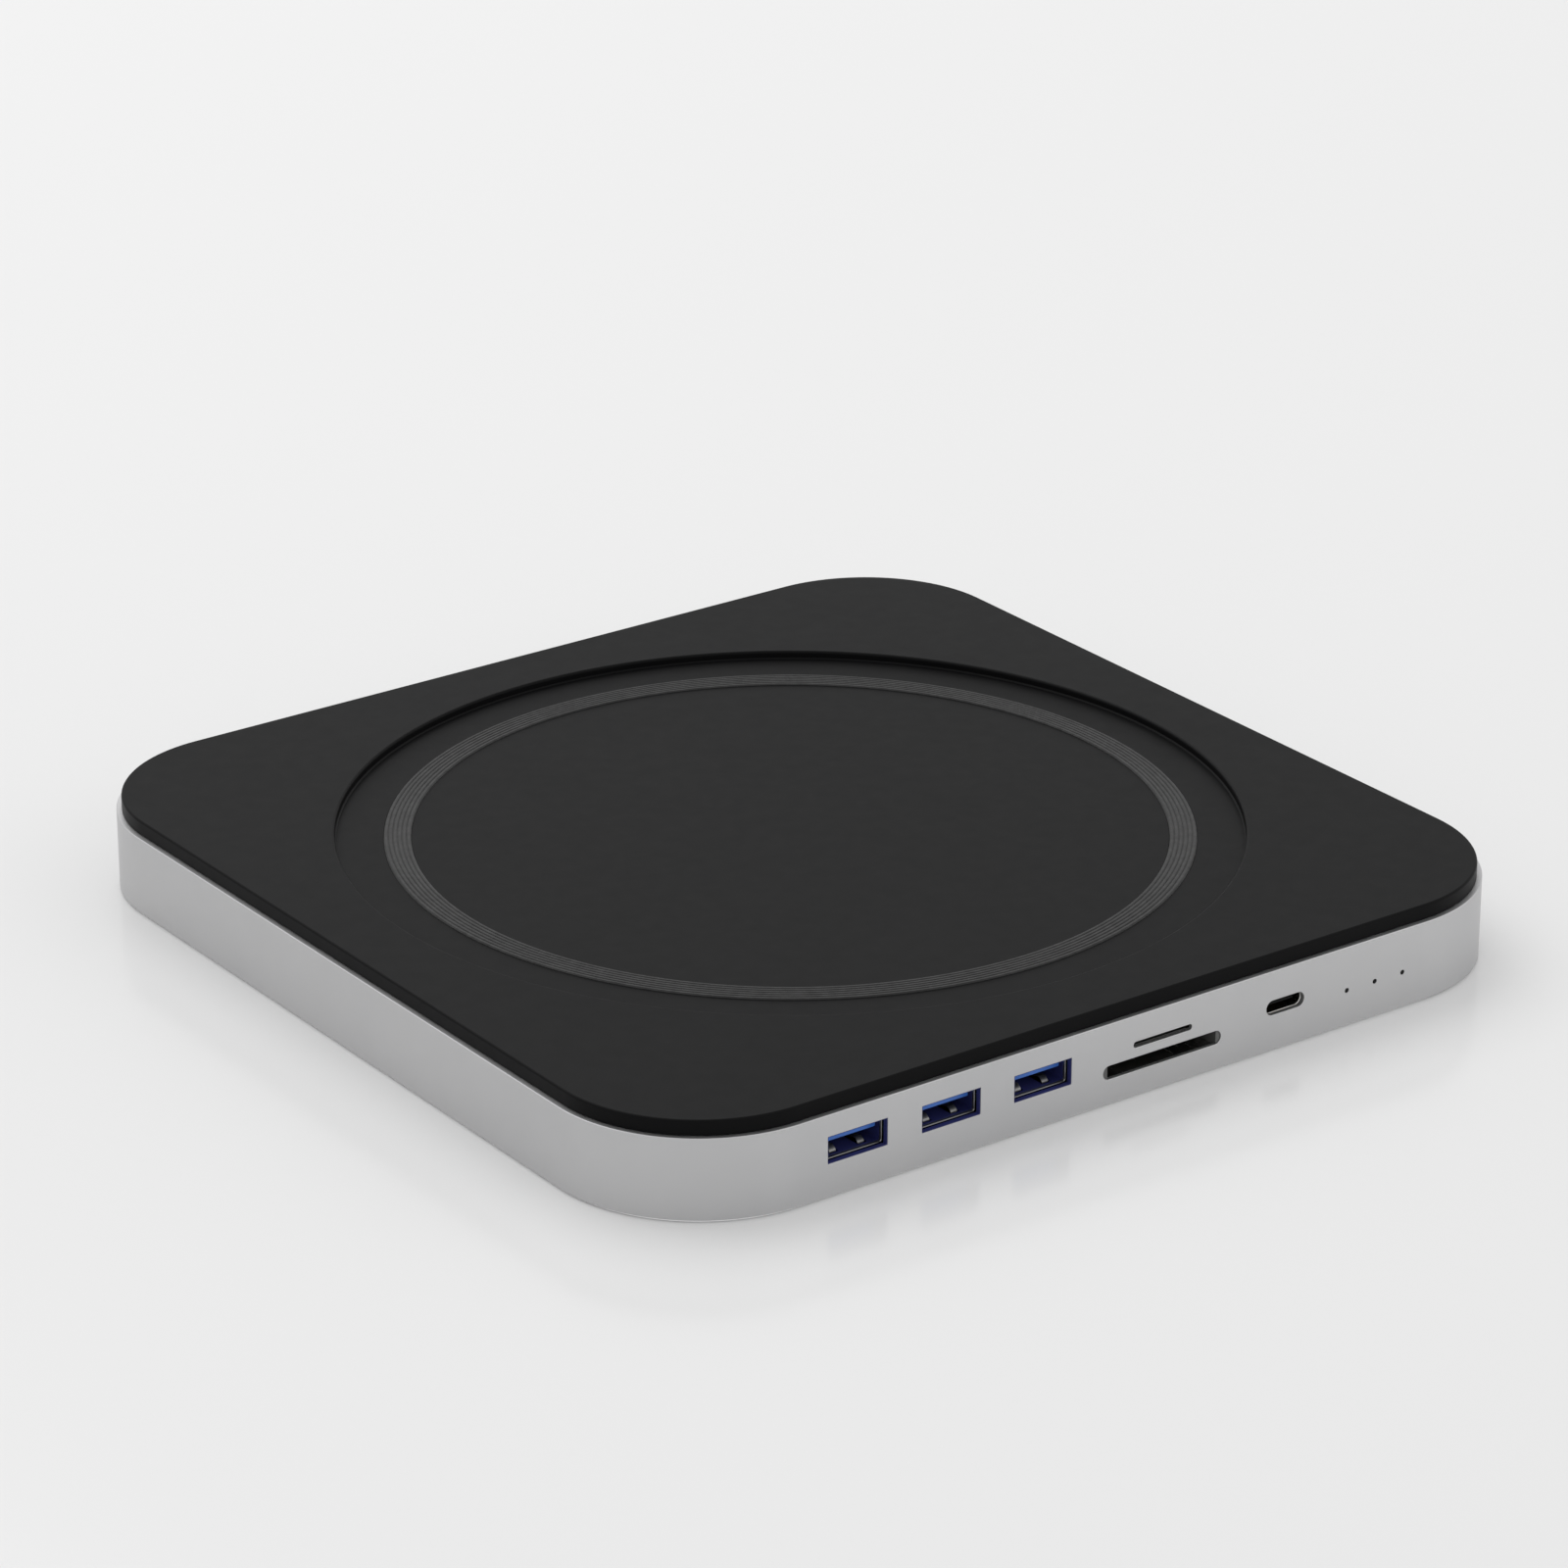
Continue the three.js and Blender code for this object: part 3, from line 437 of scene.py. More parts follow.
def amber_film():
    """Polyimide film over flat copper cores that run along the cable."""
    s = Shader("amber_film", (0.50, 0.20, 0.035), 0.25, 0.0, Coat_Weight=0.3)
    wave = s.nodes.new("ShaderNodeTexWave")
    wave.wave_profile = "SIN"
    wave.inputs["Scale"].default_value = 1 / (3.1 * MM)
    wave.inputs["Distortion"].default_value = 0.0
    s.links.new(s.coords, wave.inputs["Vector"])
    s.tint(wave.outputs["Fac"], 0.4).wear(s.noise(1.5, 2), 0.05)
    return s.bump(wave.outputs["Fac"], 0.02, 0.6).material


def smoked_acrylic():
    s = Shader("smoked_acrylic", (0.004, 0.004, 0.004), 0.30, 0.0, Specular_IOR_Level=0.12)
    s.tint(s.noise(2, 2), 0.1).wear(s.noise(0.8, 2), 0.04)
    return s.bump(s.noise(0.2, 2), 0.002, 0.3).material


def led_package():
    s = Shader("led_package", (0.78, 0.76, 0.66), 0.40)
    s.tint(s.noise(0.5, 2), 0.08, 0.03).wear(s.noise(0.3, 2), 0.05)
    return s.bump(s.noise(0.1, 2), 0.003, 0.4).material


def ceramic():
    """The fired bodies of small resistors and capacitors."""
    s = Shader("ceramic", (0.18, 0.13, 0.09), 0.45)
    s.tint(s.noise(1.6, 1), 0.6).wear(s.noise(0.5, 2), 0.08)
    return s.bump(s.noise(0.08, 2), 0.003, 0.5).material


def solder():
    s = Shader("solder", (0.66, 0.66, 0.65), 0.30, 1.0)
    s.tint(s.noise(0.7, 2), 0.08).wear(s.noise(0.4, 3), 0.1)
    return s.bump(s.noise(0.3, 2), 0.01, 0.5).material


ALUMINIUM = anodised_aluminium()
BLACK = black_abs("black_abs", 0.14)
TRAY_BLACK = black_abs("tray_abs", 0.07)
NYLON = socket_nylon()
CARD_NYLON_PAINTED_SHEEN = card_nylon_painted_sheen()
BLUE = usb_blue()
# the socket blue darkened to paint the shade inside the USB-A openings
BLUE_PAINTED_SHADE = usb_blue_painted_shade()
NICKEL = nickel_plate()
DULL = dull_nickel()
GOLD = gold_contact()
SCREW = screw_steel()
STEEL = plain_steel()
BOARD = circuit_board()
CHIP = chip_epoxy()
RUBBER = silicone_rubber()
FOAM = open_foam()
FILM = amber_film()
ACRYLIC = smoked_acrylic()
LED = led_package()
CERAMIC = ceramic()
SOLDER = solder()


# Frame and tray -----------------------------------------------------------------------------------


def wall_tube(bm):
    """The four walls, as a square tube with chamfered edges. The outer lower chamfer is finer."""
    z0, z1, edge, low_edge = FRAME_LOW.z, FRAME_HIGH.z, 0.12, 0.05
    rows = [(low_edge, z0), (0, z0 + low_edge), (0, z1 - edge), (edge, z1)]
    rows += [(WALL - edge, z1), (WALL, z1 - edge), (WALL, z0 + edge), (WALL - edge, z0)]
    stack(bm, rows, footprint, ring=True)


def wall_cut(outline, face, direction):
    """A cutter through the front or rear wall that leaves a small chamfer at its outer face.
    outline(grow) gives the opening's points, grown by grow. direction is 1 from the front, into
    +Y, and -1 from the rear."""

    depths = ((CHAMFER, -0.5), (CHAMFER, 0.0), (0.0, CHAMFER), (0.0, WALL + 0.4))
    rows = [(grow, face + direction * depth) for grow, depth in depths]

    def build(bm):
        stack(bm, rows, outline, at_y)

    return build


def slot_outline(opening):
    def outline(grow):
        width, height = opening["width"] + 2 * grow, opening["height"] + 2 * grow
        return rounded(width, height, height / 2 - 0.001, 10, (opening["x"], opening["z"]))

    return outline


def usb_a_outline(index):
    low, high = span(f"usb_a_insert_{index}")
    centre = ((low.x + high.x) / 2, (low.z + high.z) / 2)

    def outline(grow):
        return rounded(USB_A["width"] + 2 * grow, USB_A["height"] + 2 * grow, 0.12, 3, centre)

    return outline


def pinhole_outline(x):
    return lambda grow: circle(PINHOLES["radius"] + grow * 0.6, 24, (x, PINHOLES["z"]))


def corner_tube(sx, sy, radius, bore, z0, z1):
    """A bored boss for the case screw of one corner."""

    def build(bm):
        centre = (sx * SCREW_AT, sy * SCREW_AT)
        lathe(bm, [(radius, z0), (radius, z1), (bore, z1), (bore, z0)], 40, centre, ring=True)

    return build


CORNERS = [(-1, -1), (1, -1), (1, 1), (-1, 1)]


def side_frame():
    obj = mesh_object("aluminium_frame", wall_tube)
    thin, past = HALF - PORT_WALL, HALF - WALL - 1
    front = (-POCKET["front_half"], POCKET["front_half"], -thin, -past)
    rear = (HOST["x"] - POCKET["host_half"], HOST["x"] + POCKET["host_half"], past, thin)
    carve(
        obj,
        lambda bm: box(bm, *front, *POCKET["z"]),
        lambda bm: box(bm, *rear, *POCKET["z"]),
        *(wall_cut(usb_a_outline(i), FACE, 1) for i in (1, 2, 3)),
        *(wall_cut(slot_outline(opening), FACE, 1) for opening in (SD, MICRO_SD, USB_C)),
        *(wall_cut(pinhole_outline(x), FACE, 1) for x in PINHOLES["xs"]),
        wall_cut(slot_outline(HOST), HALF, -1),
    )
    fuse(obj, *(corner_tube(sx, sy, 4.2, 1.3, BASE_TOP, BOSS_TOP) for sx, sy in CORNERS))
    return place(obj, ALUMINIUM, ["side_frame"])


SEAT = {"radius": 84, "depth": 1.6}  # the recess for the computer's foot
GRIP = {"inner": 70, "outer": 75, "groove": 0.4, "proud": 0.35, "gap": 0.1, "ridges": 6}
SEAT_FLOOR = TRAY_TOP - SEAT["depth"]
TURN_STEPS = 160  # sides of the large round parts


def tray_plate(bm):
    """The black band and the top, with the top edge rounded."""
    z0, z1 = FRAME_HIGH.z, TRAY_TOP
    low = [(1.15, z0), (1.0, z0 + 0.15)]
    high = edge_round(1.0, 1.45, z1 - 0.45, z1)
    stack(bm, low + high, footprint)


def tray_recess(bm):
    """The recess for the computer's foot, with a rounded rim."""
    radius, top = SEAT["radius"], TRAY_TOP
    rows = [(radius - 0.25, SEAT_FLOOR), (radius, SEAT_FLOOR + 0.25)]
    for grow, rise in ((0, -0.5), (0.07, -0.23), (0.25, -0.07), (0.5, 0), (0.5, 1)):
        rows.append((radius + grow, top + rise))
    lathe(bm, rows, TURN_STEPS)


def tray_skirt(bm):
    """The lip that locates the tray inside the frame."""
    z0, z1 = FRAME_HIGH.z - 2, FRAME_HIGH.z + 0.5
    outer, inner = WALL + 0.2, WALL + 1.4
    rows = ((outer, z0), (outer, z1), (inner, z1), (inner, z0))
    stack(bm, rows, footprint, ring=True)


def tray_ribs(bm):
    """The ribs under the tray that run from front to back."""
    places, width, end = (-55, -20, 20, 55), 1.2, 93.6
    z0, z1 = FRAME_HIGH.z - 1.6, FRAME_HIGH.z + 0.5
    for at in places:
        box(bm, at - width / 2, at + width / 2, -end, end, z0, z1)


def tray_cross_ribs(bm):
    """The same ribs, turned to run from side to side."""
    tray_ribs(bm)
    quarter_turn = Matrix.Rotation(math.pi / 2, 3, "Z")
    bmesh.ops.rotate(bm, verts=bm.verts, cent=(0, 0, 0), matrix=quarter_turn)


def top_tray():
    obj = mesh_object("top_tray_moulding", tray_plate)
    groove = SEAT_FLOOR - GRIP["groove"]
    inner, outer = GRIP["inner"] - GRIP["gap"], GRIP["outer"] + GRIP["gap"]
    rows = [(inner, groove), (outer, groove), (outer, TRAY_TOP), (inner, TRAY_TOP)]
    carve(obj, tray_recess, lambda bm: lathe(bm, rows, TURN_STEPS, ring=True))
    fuse(obj, tray_skirt, tray_ribs, tray_cross_ribs)
    boss_end = FRAME_HIGH.z + 0.4
    fuse(obj, *(corner_tube(sx, sy, 3.4, 1.1, BOSS_TOP, boss_end) for sx, sy in CORNERS))
    return place(obj, TRAY_BLACK, ["top_tray"])


def grip_ring():
    """A flat rubber ring with fine round ridges."""
    low, top = SEAT_FLOOR - GRIP["groove"], SEAT_FLOOR + GRIP["proud"]
    inner, outer = GRIP["inner"], GRIP["outer"]
    pitch = (outer - inner) / GRIP["ridges"]
    crest = []
    for i in range(GRIP["ridges"]):
        for share, drop in ((0.08, 0.22), (0.25, 0.05), (0.5, 0), (0.75, 0.05), (0.92, 0.22)):
            crest.append((inner + (i + share) * pitch, top - drop))
    rows = [(outer - 0.15, low), (outer, low + 0.15), (outer, top - 0.25), *crest[::-1]]
    rows += [(inner, top - 0.25), (inner, low + 0.15), (inner + 0.15, low)]
    obj = mesh_object("grip_ring_ribbed", lambda bm: lathe(bm, rows, TURN_STEPS, ring=True))
    return place(obj, RUBBER, ["grip_ring"])


# Base ---------------------------------------------------------------------------------------------

FOOT = {"at": 72, "radius": 8, "seat": 0.6}
DOOR_HOLE = {"x": 36, "front": -45, "back": 64.5}
HINGE = {"y": 62.6, "z": BASE_LOW + 1.5, "radius": 1.5, "bore": 0.9, "lug_xs": (30.4, 34)}
TALL_POSTS = [(-68, -90), (69, -90), (-68, -56), (68, -56), (22, 86), (61, 90)]
SHORT_POSTS = [(-41.5, -38), (41.5, -38), (-41.5, 58), (41.5, 58)]
POST_TOPS = {BOARD_LOW: TALL_POSTS, BASE_TOP + 3: SHORT_POSTS}
VENTS = {"count": 7, "pitch": 5, "width": 1.8, "length": 30, "x": 66}


def base_sheet(bm):
    """The flat plate, with its lower edge rounded."""
    inset = WALL + 0.2
    rows = edge_round(inset, inset + 0.4, BASE_LOW, BASE_LOW + 0.4, towards_top=False, steps=3)
    rows += [(inset, BASE_TOP - 0.1), (inset + 0.1, BASE_TOP)]
    stack(bm, rows, footprint)


def door_opening(bm):
    """The door's opening, with a small chamfer round its lower edge."""
    x, front, back = DOOR_HOLE["x"], DOOR_HOLE["front"], DOOR_HOLE["back"]
    centre = (0, (front + back) / 2)

    def outline(grow):
        return rounded(2 * (x + grow), back - front + 2 * grow, 0.5, 3, centre)

    rows = [(0.2, BASE_LOW - 1), (0.2, BASE_LOW), (0, BASE_LOW + 0.2), (0, BASE_TOP + 1)]
    stack(bm, rows, outline)


def vent_slots(bm):
    """Round-ended slots with chamfered mouths."""
    rows = [(0.25, BASE_LOW - 1), (0.25, BASE_LOW), (0, BASE_LOW + 0.25), (0, BASE_TOP + 1)]
    for side in (-1, 1):
        for i in range(VENTS["count"]):
            centre = (side * VENTS["x"], (i - (VENTS["count"] - 1) / 2) * VENTS["pitch"])

            def outline(grow):
                width = VENTS["width"] + 2 * grow
                return rounded(VENTS["length"] + 2 * grow, width, width / 2 - 0.001, 8, centre)

            stack(bm, rows, outline)


def foot_seats(bm):
    """Round recesses with chamfered mouths."""
    radius = FOOT["radius"] + 0.2
    rows = [(radius + 0.15, BASE_LOW - 1), (radius + 0.15, BASE_LOW), (radius, BASE_LOW + 0.15)]
    rows.append((radius, BASE_LOW + FOOT["seat"]))
    for sx, sy in CORNERS:
        lathe(bm, rows, 72, (sx * FOOT["at"], sy * FOOT["at"]))


def screw_seats(bm):
    """Countersunk holes for the case screws."""
    rows = [(2.6, BASE_LOW - 1), (2.6, BASE_LOW), (1.4, BASE_LOW + 1.2), (1.4, BASE_TOP + 1)]
    for sx, sy in CORNERS:
        lathe(bm, rows, 40, (sx * SCREW_AT, sy * SCREW_AT))


def base_posts(bm):
    """Posts with a fillet at the foot and a blind hole for the screw."""
    foot, hole_end = BASE_TOP - 0.2, BASE_TOP + 0.4
    for top, places in POST_TOPS.items():
        for centre in places:
            rows = [(3.3, foot), (3, BASE_TOP + 0.3), (3, top), (1.2, top), (1.2, hole_end)]
            lathe(bm, rows + [(0.01, hole_end), (0.01, foot)], 32, centre, ring=True)


def hinge_lug(side):
    """A lug with a round front, for the hinge pin."""
    y, z, radius = HINGE["y"], HINGE["z"], HINGE["radius"]
    back = DOOR_HOLE["back"] + 1.5

    def build(bm):
        front = [(y + radius * math.cos(a), z + radius * math.sin(a)) for a in half_turn()]
        outline = [(back, z - radius), (back, z + radius), *front]
        loft(bm, [[(side * x, py, pz) for py, pz in outline] for x in HINGE["lug_xs"]])

    return build


def half_turn(steps=12):
    """Angles from straight up, over the front, to straight down."""
    return [math.pi / 2 + math.pi * i / steps for i in range(steps + 1)]


def hinge_bore(bm):
    """One bore from side to side, through both lugs."""
    outline = circle(HINGE["bore"], 24, (HINGE["y"], HINGE["z"]))
    loft(bm, [[(x, y, z) for y, z in outline] for x in (-36, 36)])


def base_plate():
    obj = mesh_object("base_moulding", base_sheet)
    carve(obj, door_opening, vent_slots, foot_seats, screw_seats)
    fuse(obj, base_posts, hinge_lug(-1), hinge_lug(1))
    carve(obj, hinge_bore)
    return place(obj, BLACK, ["base_plate"])


def rubber_foot(index, sx, sy):
    """A foot with a rounded rim and a shallow round dish."""
    radius, top = FOOT["radius"], BASE_LOW + FOOT["seat"] - 0.02
    rows = [(0.01, 0.15)]
    for inset, z in ((2.6, 0.15), (2.2, 0.02), (1.9, 0), (0.7, 0), (0.3, 0.1), (0.05, 0.4)):
        rows.append((radius - inset, z))
    rows += [(radius, 0.7), (radius, top - 0.1), (radius - 0.1, top)]
    centre = (sx * FOOT["at"], sy * FOOT["at"])
    obj = mesh_object(f"rubber_foot_{index}", lambda bm: lathe(bm, rows, 72, centre))
    return place(obj, RUBBER, [f"foot_{index}"])


def case_screw(index, sx, sy):
    """A countersunk screw with a hexagonal socket and a threaded shank."""
    node = f"case_screw_{index}"
    top = span(node)[1].z
    centre = (sx * SCREW_AT, sy * SCREW_AT)

    def body(bm):
        low = BASE_LOW + 0.1
        rows = [(2.2, low), (2.34, low + 0.1), (2.3, low + 0.2)]
        rows += [(1.1, low + 1.1), (0.95, low + 1.6)]
        z, pitch = low + 3, 0.45
        while z < top - 1:
            rows += [(0.78, z), (0.95, z + pitch * 0.5)]
            z += pitch
        lathe(bm, rows + [(0.78, top - 0.5), (0.4, top)], 24, centre)

    def socket(bm):
        hexagon = circle(0.85, 6, centre)
        loft(bm, [at_z(hexagon, BASE_LOW - 1), at_z(hexagon, BASE_LOW + 0.85)])

    obj = mesh_object(f"{node}_fine", body)
    carve(obj, socket)
    return place(obj, SCREW, [node])


# USB-A sockets ------------------------------------------------------------------------------------

SOCKET_A = {"width": 12.1, "height": 4.7, "metal": 0.3, "flare": 0.18}
SPRING = {
    "x": 2.95,
    "width": 1.35,
    "thick": 0.2,
    "nose": 1.5,  # nose, crest and root are distances from the shell's mouth
    "crest": 2.5,
    "root": 7.4,
    "rise": 0.9,
}
SLOT_HALF = 0.95  # half the width of the slot that each spring is cut from
TONGUE_A = {"half": 5.6, "thick": 1.84, "drop": 0.35}  # drop is from the insert's top


def strip(bm, path, x, width, thick):
    """A bent strip of sheet, along points of (y, z) for its lower face."""
    loops = []
    for y, z in path:
        low, high = x - width / 2, x + width / 2
        loops.append([(low, y, z), (high, y, z), (high, y, z + thick), (low, y, z + thick)])
    loft(bm, loops)


def middle_of(node):
    """The middle of a CAD node as seen from the front, and its two ends in depth."""
    low, high = span(node)
    return (low.x + high.x) / 2, (low.z + high.z) / 2, low.y, high.y


def usb_a_shell(index):
    node = f"usb_a_shell_{index}"
    x, z, y0, y1 = middle_of(node)
    width, height, metal, flare = (SOCKET_A[k] for k in ("width", "height", "metal", "flare"))

    def outline(grow):
        return rounded(width + 2 * grow, height + 2 * grow, 0.3 + max(grow, 0), 5, (x, z))

    def tube(bm):
        rows = [(metal, y0 + 0.06), (metal, y1), (0, y1), (0, y0 + flare + 0.05)]
        rows += [(flare * 0.45, y0 + flare * 0.45), (flare, y0 + 0.02), (flare + 0.02, y0)]
        stack(bm, rows, outline, at_y, ring=True)

    def springs(bm):
        thick = SPRING["thick"]
        floor, ceiling = z - height / 2 - thick, z + height / 2
        nose, crest, root, rise = (SPRING[k] for k in ("nose", "crest", "root", "rise"))
        path = [(nose, 0.02), (nose + 0.2, rise * 0.45), (crest - 0.2, rise * 0.95)]
        path += [(crest + 0.2, rise), (crest + 1.8, rise * 0.55)]
        path += [(root - 1.2, 0.06), (root + 0.4, -0.02)]
        low = [(y0 + y, floor + up) for y, up in path]
        high = [(y0 + y, ceiling - up * 0.3) for y, up in path]
        for sx in (-SPRING["x"], SPRING["x"]):
            strip(bm, low, x + sx, SPRING["width"], thick)
            strip(bm, high, x + sx, SPRING["width"], thick)

    def tabs(bm):
        inner, outer = width / 2 + metal - 0.05, width / 2 + 1.6
        for side in (-1, 1):
            edges = sorted((x + side * inner, x + side * outer))
            box(bm, *edges, FACE + 6, FACE + 10, BOARD_TOP, BOARD_TOP + metal)

    obj = mesh_object(f"usb_a_can_{index}", tube)
    carve(obj, spring_slots(index))
    fuse(obj, tabs)
    place(obj, DULL, [node])
    leaf = mesh_object(f"usb_a_springs_{index}", springs)
    return place(leaf, DULL)


def spring_slots(index):
    """Slots through the shell's floor and ceiling, round the springs."""
    x, z, y0, _ = middle_of(f"usb_a_shell_{index}")
    reach = SOCKET_A["height"] / 2

    def build(bm):
        ends = (y0 + SPRING["nose"] - 0.4, y0 + SPRING["root"])
        for sx in (-SPRING["x"], SPRING["x"]):
            sides = (x + sx - SLOT_HALF, x + sx + SLOT_HALF, *ends)
            box(bm, *sides, z - reach - 1, z - reach + 0.2)
            box(bm, *sides, z + reach - 0.2, z + reach + 1)

    return build


def usb_a_insert(index):
    """The blue tongue on its block, with the socket's contacts on the tongue's lower face. The
    block's thin skirt runs forward along the shell's walls; its dark blue is painted shade and a
    painted reflection of the blue tongue in the metal."""
    node = f"usb_a_insert_{index}"
    low, high = span(node)
    x, z, y0, y1 = middle_of(node)
    half, thick, top = TONGUE_A["half"], TONGUE_A["thick"], high.z - TONGUE_A["drop"]
    middle = (x, top - thick / 2)
    shell_front = span(f"usb_a_shell_{index}")[0].y

    def tongue_outline(inset):
        return rounded(2 * (half - inset), thick - 2 * inset, 0.15, 3, middle)

    def tongue(bm):
        rows = [(0.12, y0), (0.03, y0 + 0.06), (0, y0 + 0.2), (0, y0 + (y1 - y0 - 2.5))]
        stack(bm, rows, tongue_outline, at_y)

    def block(bm):
        outline = rounded(high.x - low.x, high.z - low.z, 0.3, 3, (x, z))
        loft(bm, [at_y(outline, y1 - 3.2), at_y(outline, y1)])

    def skirt_outline(inset):
        width, height = SOCKET_A["width"] - 2 * inset, SOCKET_A["height"] - 2 * inset
        return rounded(width, height, 0.3, 5, (x, z))

    # a dark blue sheet over the shell's inner walls: painted shade and a painted reflection of the
    # tongue
    def skirt(bm):
        start, end = shell_front + 0.5, shell_front + 11
        rows = [(0.005, start), (0.005, end), (0.045, end), (0.045, start)]
        stack(bm, rows, skirt_outline, at_y, ring=True)

    def contacts(bm):
        under = top - thick
        for pin in (-3.5, -1, 1, 3.5):
            path = [(2.2, -0.02), (2.6, -0.34), (3.2, -0.38), (5.5, -0.1), (7.6, -0.04)]
            strip(bm, [(y0 + y, under + drop) for y, drop in path], x + pin, 0.9, 0.12)
        for pin in (-4, -2, 0, 2, 4):
            box(bm, x + pin - 0.3, x + pin + 0.3, y0 + 0.5, y0 + 1.7, under - 0.06, under + 0.05)

    obj = mesh_object(f"usb_a_tongue_{index}", tongue)
    fuse(obj, block)
    place(obj, BLUE, [node])
    place(carve(mesh_object(f"usb_a_skirt_{index}", skirt), spring_slots(index)), BLUE_PAINTED_SHADE)
    return place(mesh_object(f"usb_a_contacts_{index}", contacts), GOLD)


def usb_a_lining(index):
    """The thin blue lining of the opening, in the darker blue that paints the shade inside it."""
    node = f"usb_a_lining_{index}"
    low, high = span(node)
    x, z, y0, y1 = middle_of(node)
    width, height = high.x - low.x, high.z - low.z
    rows = [(0, y0), (0, y1), (-0.12, y1), (-0.12, y0 + 0.1), (-0.06, y0)]

    def outline(grow):
        return rounded(width + 2 * grow, height + 2 * grow, 0.15, 3, (x, z))

    def build(bm):
        stack(bm, rows, outline, at_y, ring=True)

    # the lining's blue is darkened as painted shade
    return place(mesh_object(f"usb_a_edge_{index}", build), BLUE_PAINTED_SHADE, [node])


# USB-C sockets ------------------------------------------------------------------------------------

SOCKET_C = {"width": 8.34, "height": 2.56, "metal": 0.3, "depth": 7.4}
TONGUE_C = {"width": 6.66, "thick": 0.7}
PINS_C = {"count": 12, "first": -2.75, "pitch": 0.5, "long": (0, 3, 8, 11)}  # in each row


def usb_c_socket(name, x, mouth, direction):
    """The drawn shell, and the tongue with its contacts. direction is 1 for a mouth at the front,
    so that the socket runs into +Y, and -1 at the rear."""
    z = USB_C["z"]
    width, height, metal, depth = (SOCKET_C[k] for k in ("width", "height", "metal", "depth"))

    def outline(grow):
        tall = height + 2 * grow
        return rounded(width + 2 * grow, tall, tall / 2 - 0.001, 12, (x, z))

    def row(grow, y):
        return at_y(outline(grow), mouth + direction * y)

    def shell(bm):
        rows = [(metal - 0.08, 0), (metal, 0.08), (metal, depth), (0, depth), (0, 0.12), (0.1, 0)]
        loft(bm, [row(grow, y) for grow, y in rows], ring=True)

    def tabs(bm):
        for side in (-1, 1):
            xs = sorted((x + side * (width / 2 + 0.15), x + side * 5.8))
            ys = sorted((mouth + direction * 3, mouth + direction * 5.5))
            box(bm, *xs, *ys, BOARD_TOP, BOARD_TOP + metal)

    def plug(bm):
        loft(bm, [row(-0.05, depth - 2), row(-0.05, depth)])

    def tongue_outline(inset):
        wide, thick = TONGUE_C["width"] - 2 * inset, TONGUE_C["thick"] - 2 * inset
        return rounded(wide, thick, 0.15, 3, (x, z))

    def tongue(bm):
        depths = ((0.15, 0.8), (0, 1.0), (0, depth - 1))
        rows = [(inset, mouth + direction * y) for inset, y in depths]
        stack(bm, rows, tongue_outline, at_y)

    def contacts(bm):
        for side in (-1, 1):
            for pin in range(PINS_C["count"]):
                px = x + PINS_C["first"] + pin * PINS_C["pitch"]
                reach = 1.3 if pin in PINS_C["long"] else 1.7
                ys = sorted((mouth + direction * reach, mouth + direction * (depth - 2.4)))
                box(bm, px - 0.13, px + 0.13, *ys, *sorted((z + side * 0.3, z + side * 0.375)))

    obj = mesh_object(f"{name}_can", shell)
    fuse(obj, tabs)
    place(obj, NICKEL, [f"{name}_shell"])
    core = mesh_object(f"{name}_core", tongue)
    fuse(core, plug)
    place(core, BLACK, [f"{name}_tongue"])
    return place(mesh_object(f"{name}_contacts", contacts), GOLD)


# Card sockets, drive connector and boards ---------------------------------------------------------


def card_contacts(name, xs, width, path):
    """A row of sprung contacts, one at each x, bent along path."""

    def build(bm):
        for x in xs:
            strip(bm, path, x, width, 0.12)

    return place(mesh_object(name, build), GOLD)


def card_sockets():
    """Keeps both sockets and adds their contacts, and the thin metal lip in the microSD mouth."""
    for node in ("sd_socket_base", "microsd_socket_base"):
        soften(node, CARD_NYLON_PAINTED_SHEEN, 0.05)
    for node in ("sd_socket_shell", "microsd_socket_shell"):
        soften(node, NICKEL, 0.05)
    soften("microsd_push_slider", STEEL, 0.06)
    back, ceiling = span("sd_socket_base")[1].y, SD["z"] + 1.2
    bends = ((3.4, 0.1), (8, 0.75), (9, 0.85), (9.6, 0.6))
    path = [(back - reach, ceiling - drop) for reach, drop in bends]
    xs = [SD["x"] - 10 + 2.5 * i for i in range(9)]
    card_contacts("sd_contacts", xs, 1.1, path)
    low, high = span("microsd_socket_base")
    floor = low.z + 0.2
    bends = ((1.2, 0.02), (4, 0.35), (4.6, 0.42), (5.1, 0.2))
    path = [(high.y - reach, floor + rise) for reach, rise in bends]
    xs = [MICRO_SD["x"] - 4.2 + 1.1 * i for i in range(8)]
    card_contacts("microsd_contacts", xs, 0.6, path)
    lip = (low.x + 1.2, high.x, low.y, low.y + 0.9, floor, floor + 0.04)
    place(mesh_object("microsd_lip", lambda bm: box(bm, *lip)), DULL)


def drive_connector():
    """Keeps the connector's body, and adds its short and long rows of contacts."""
    soften("sata_connector", NYLON, 0.15)
    low, high = span("sata_connector")
    middle = (low.z + high.z) / 2
    pitch, half = 1.27, 0.35

    def rows(bm):
        for start, count in ((7.9, 7), (-16.9, 15)):
            for i in range(count):
                x, ys = start + pitch * i, (high.y - 4, high.y - 0.6)
                box(bm, x - half, x + half, *ys, middle - 0.98, middle - 0.78)

    return place(mesh_object("sata_contacts", rows), GOLD)


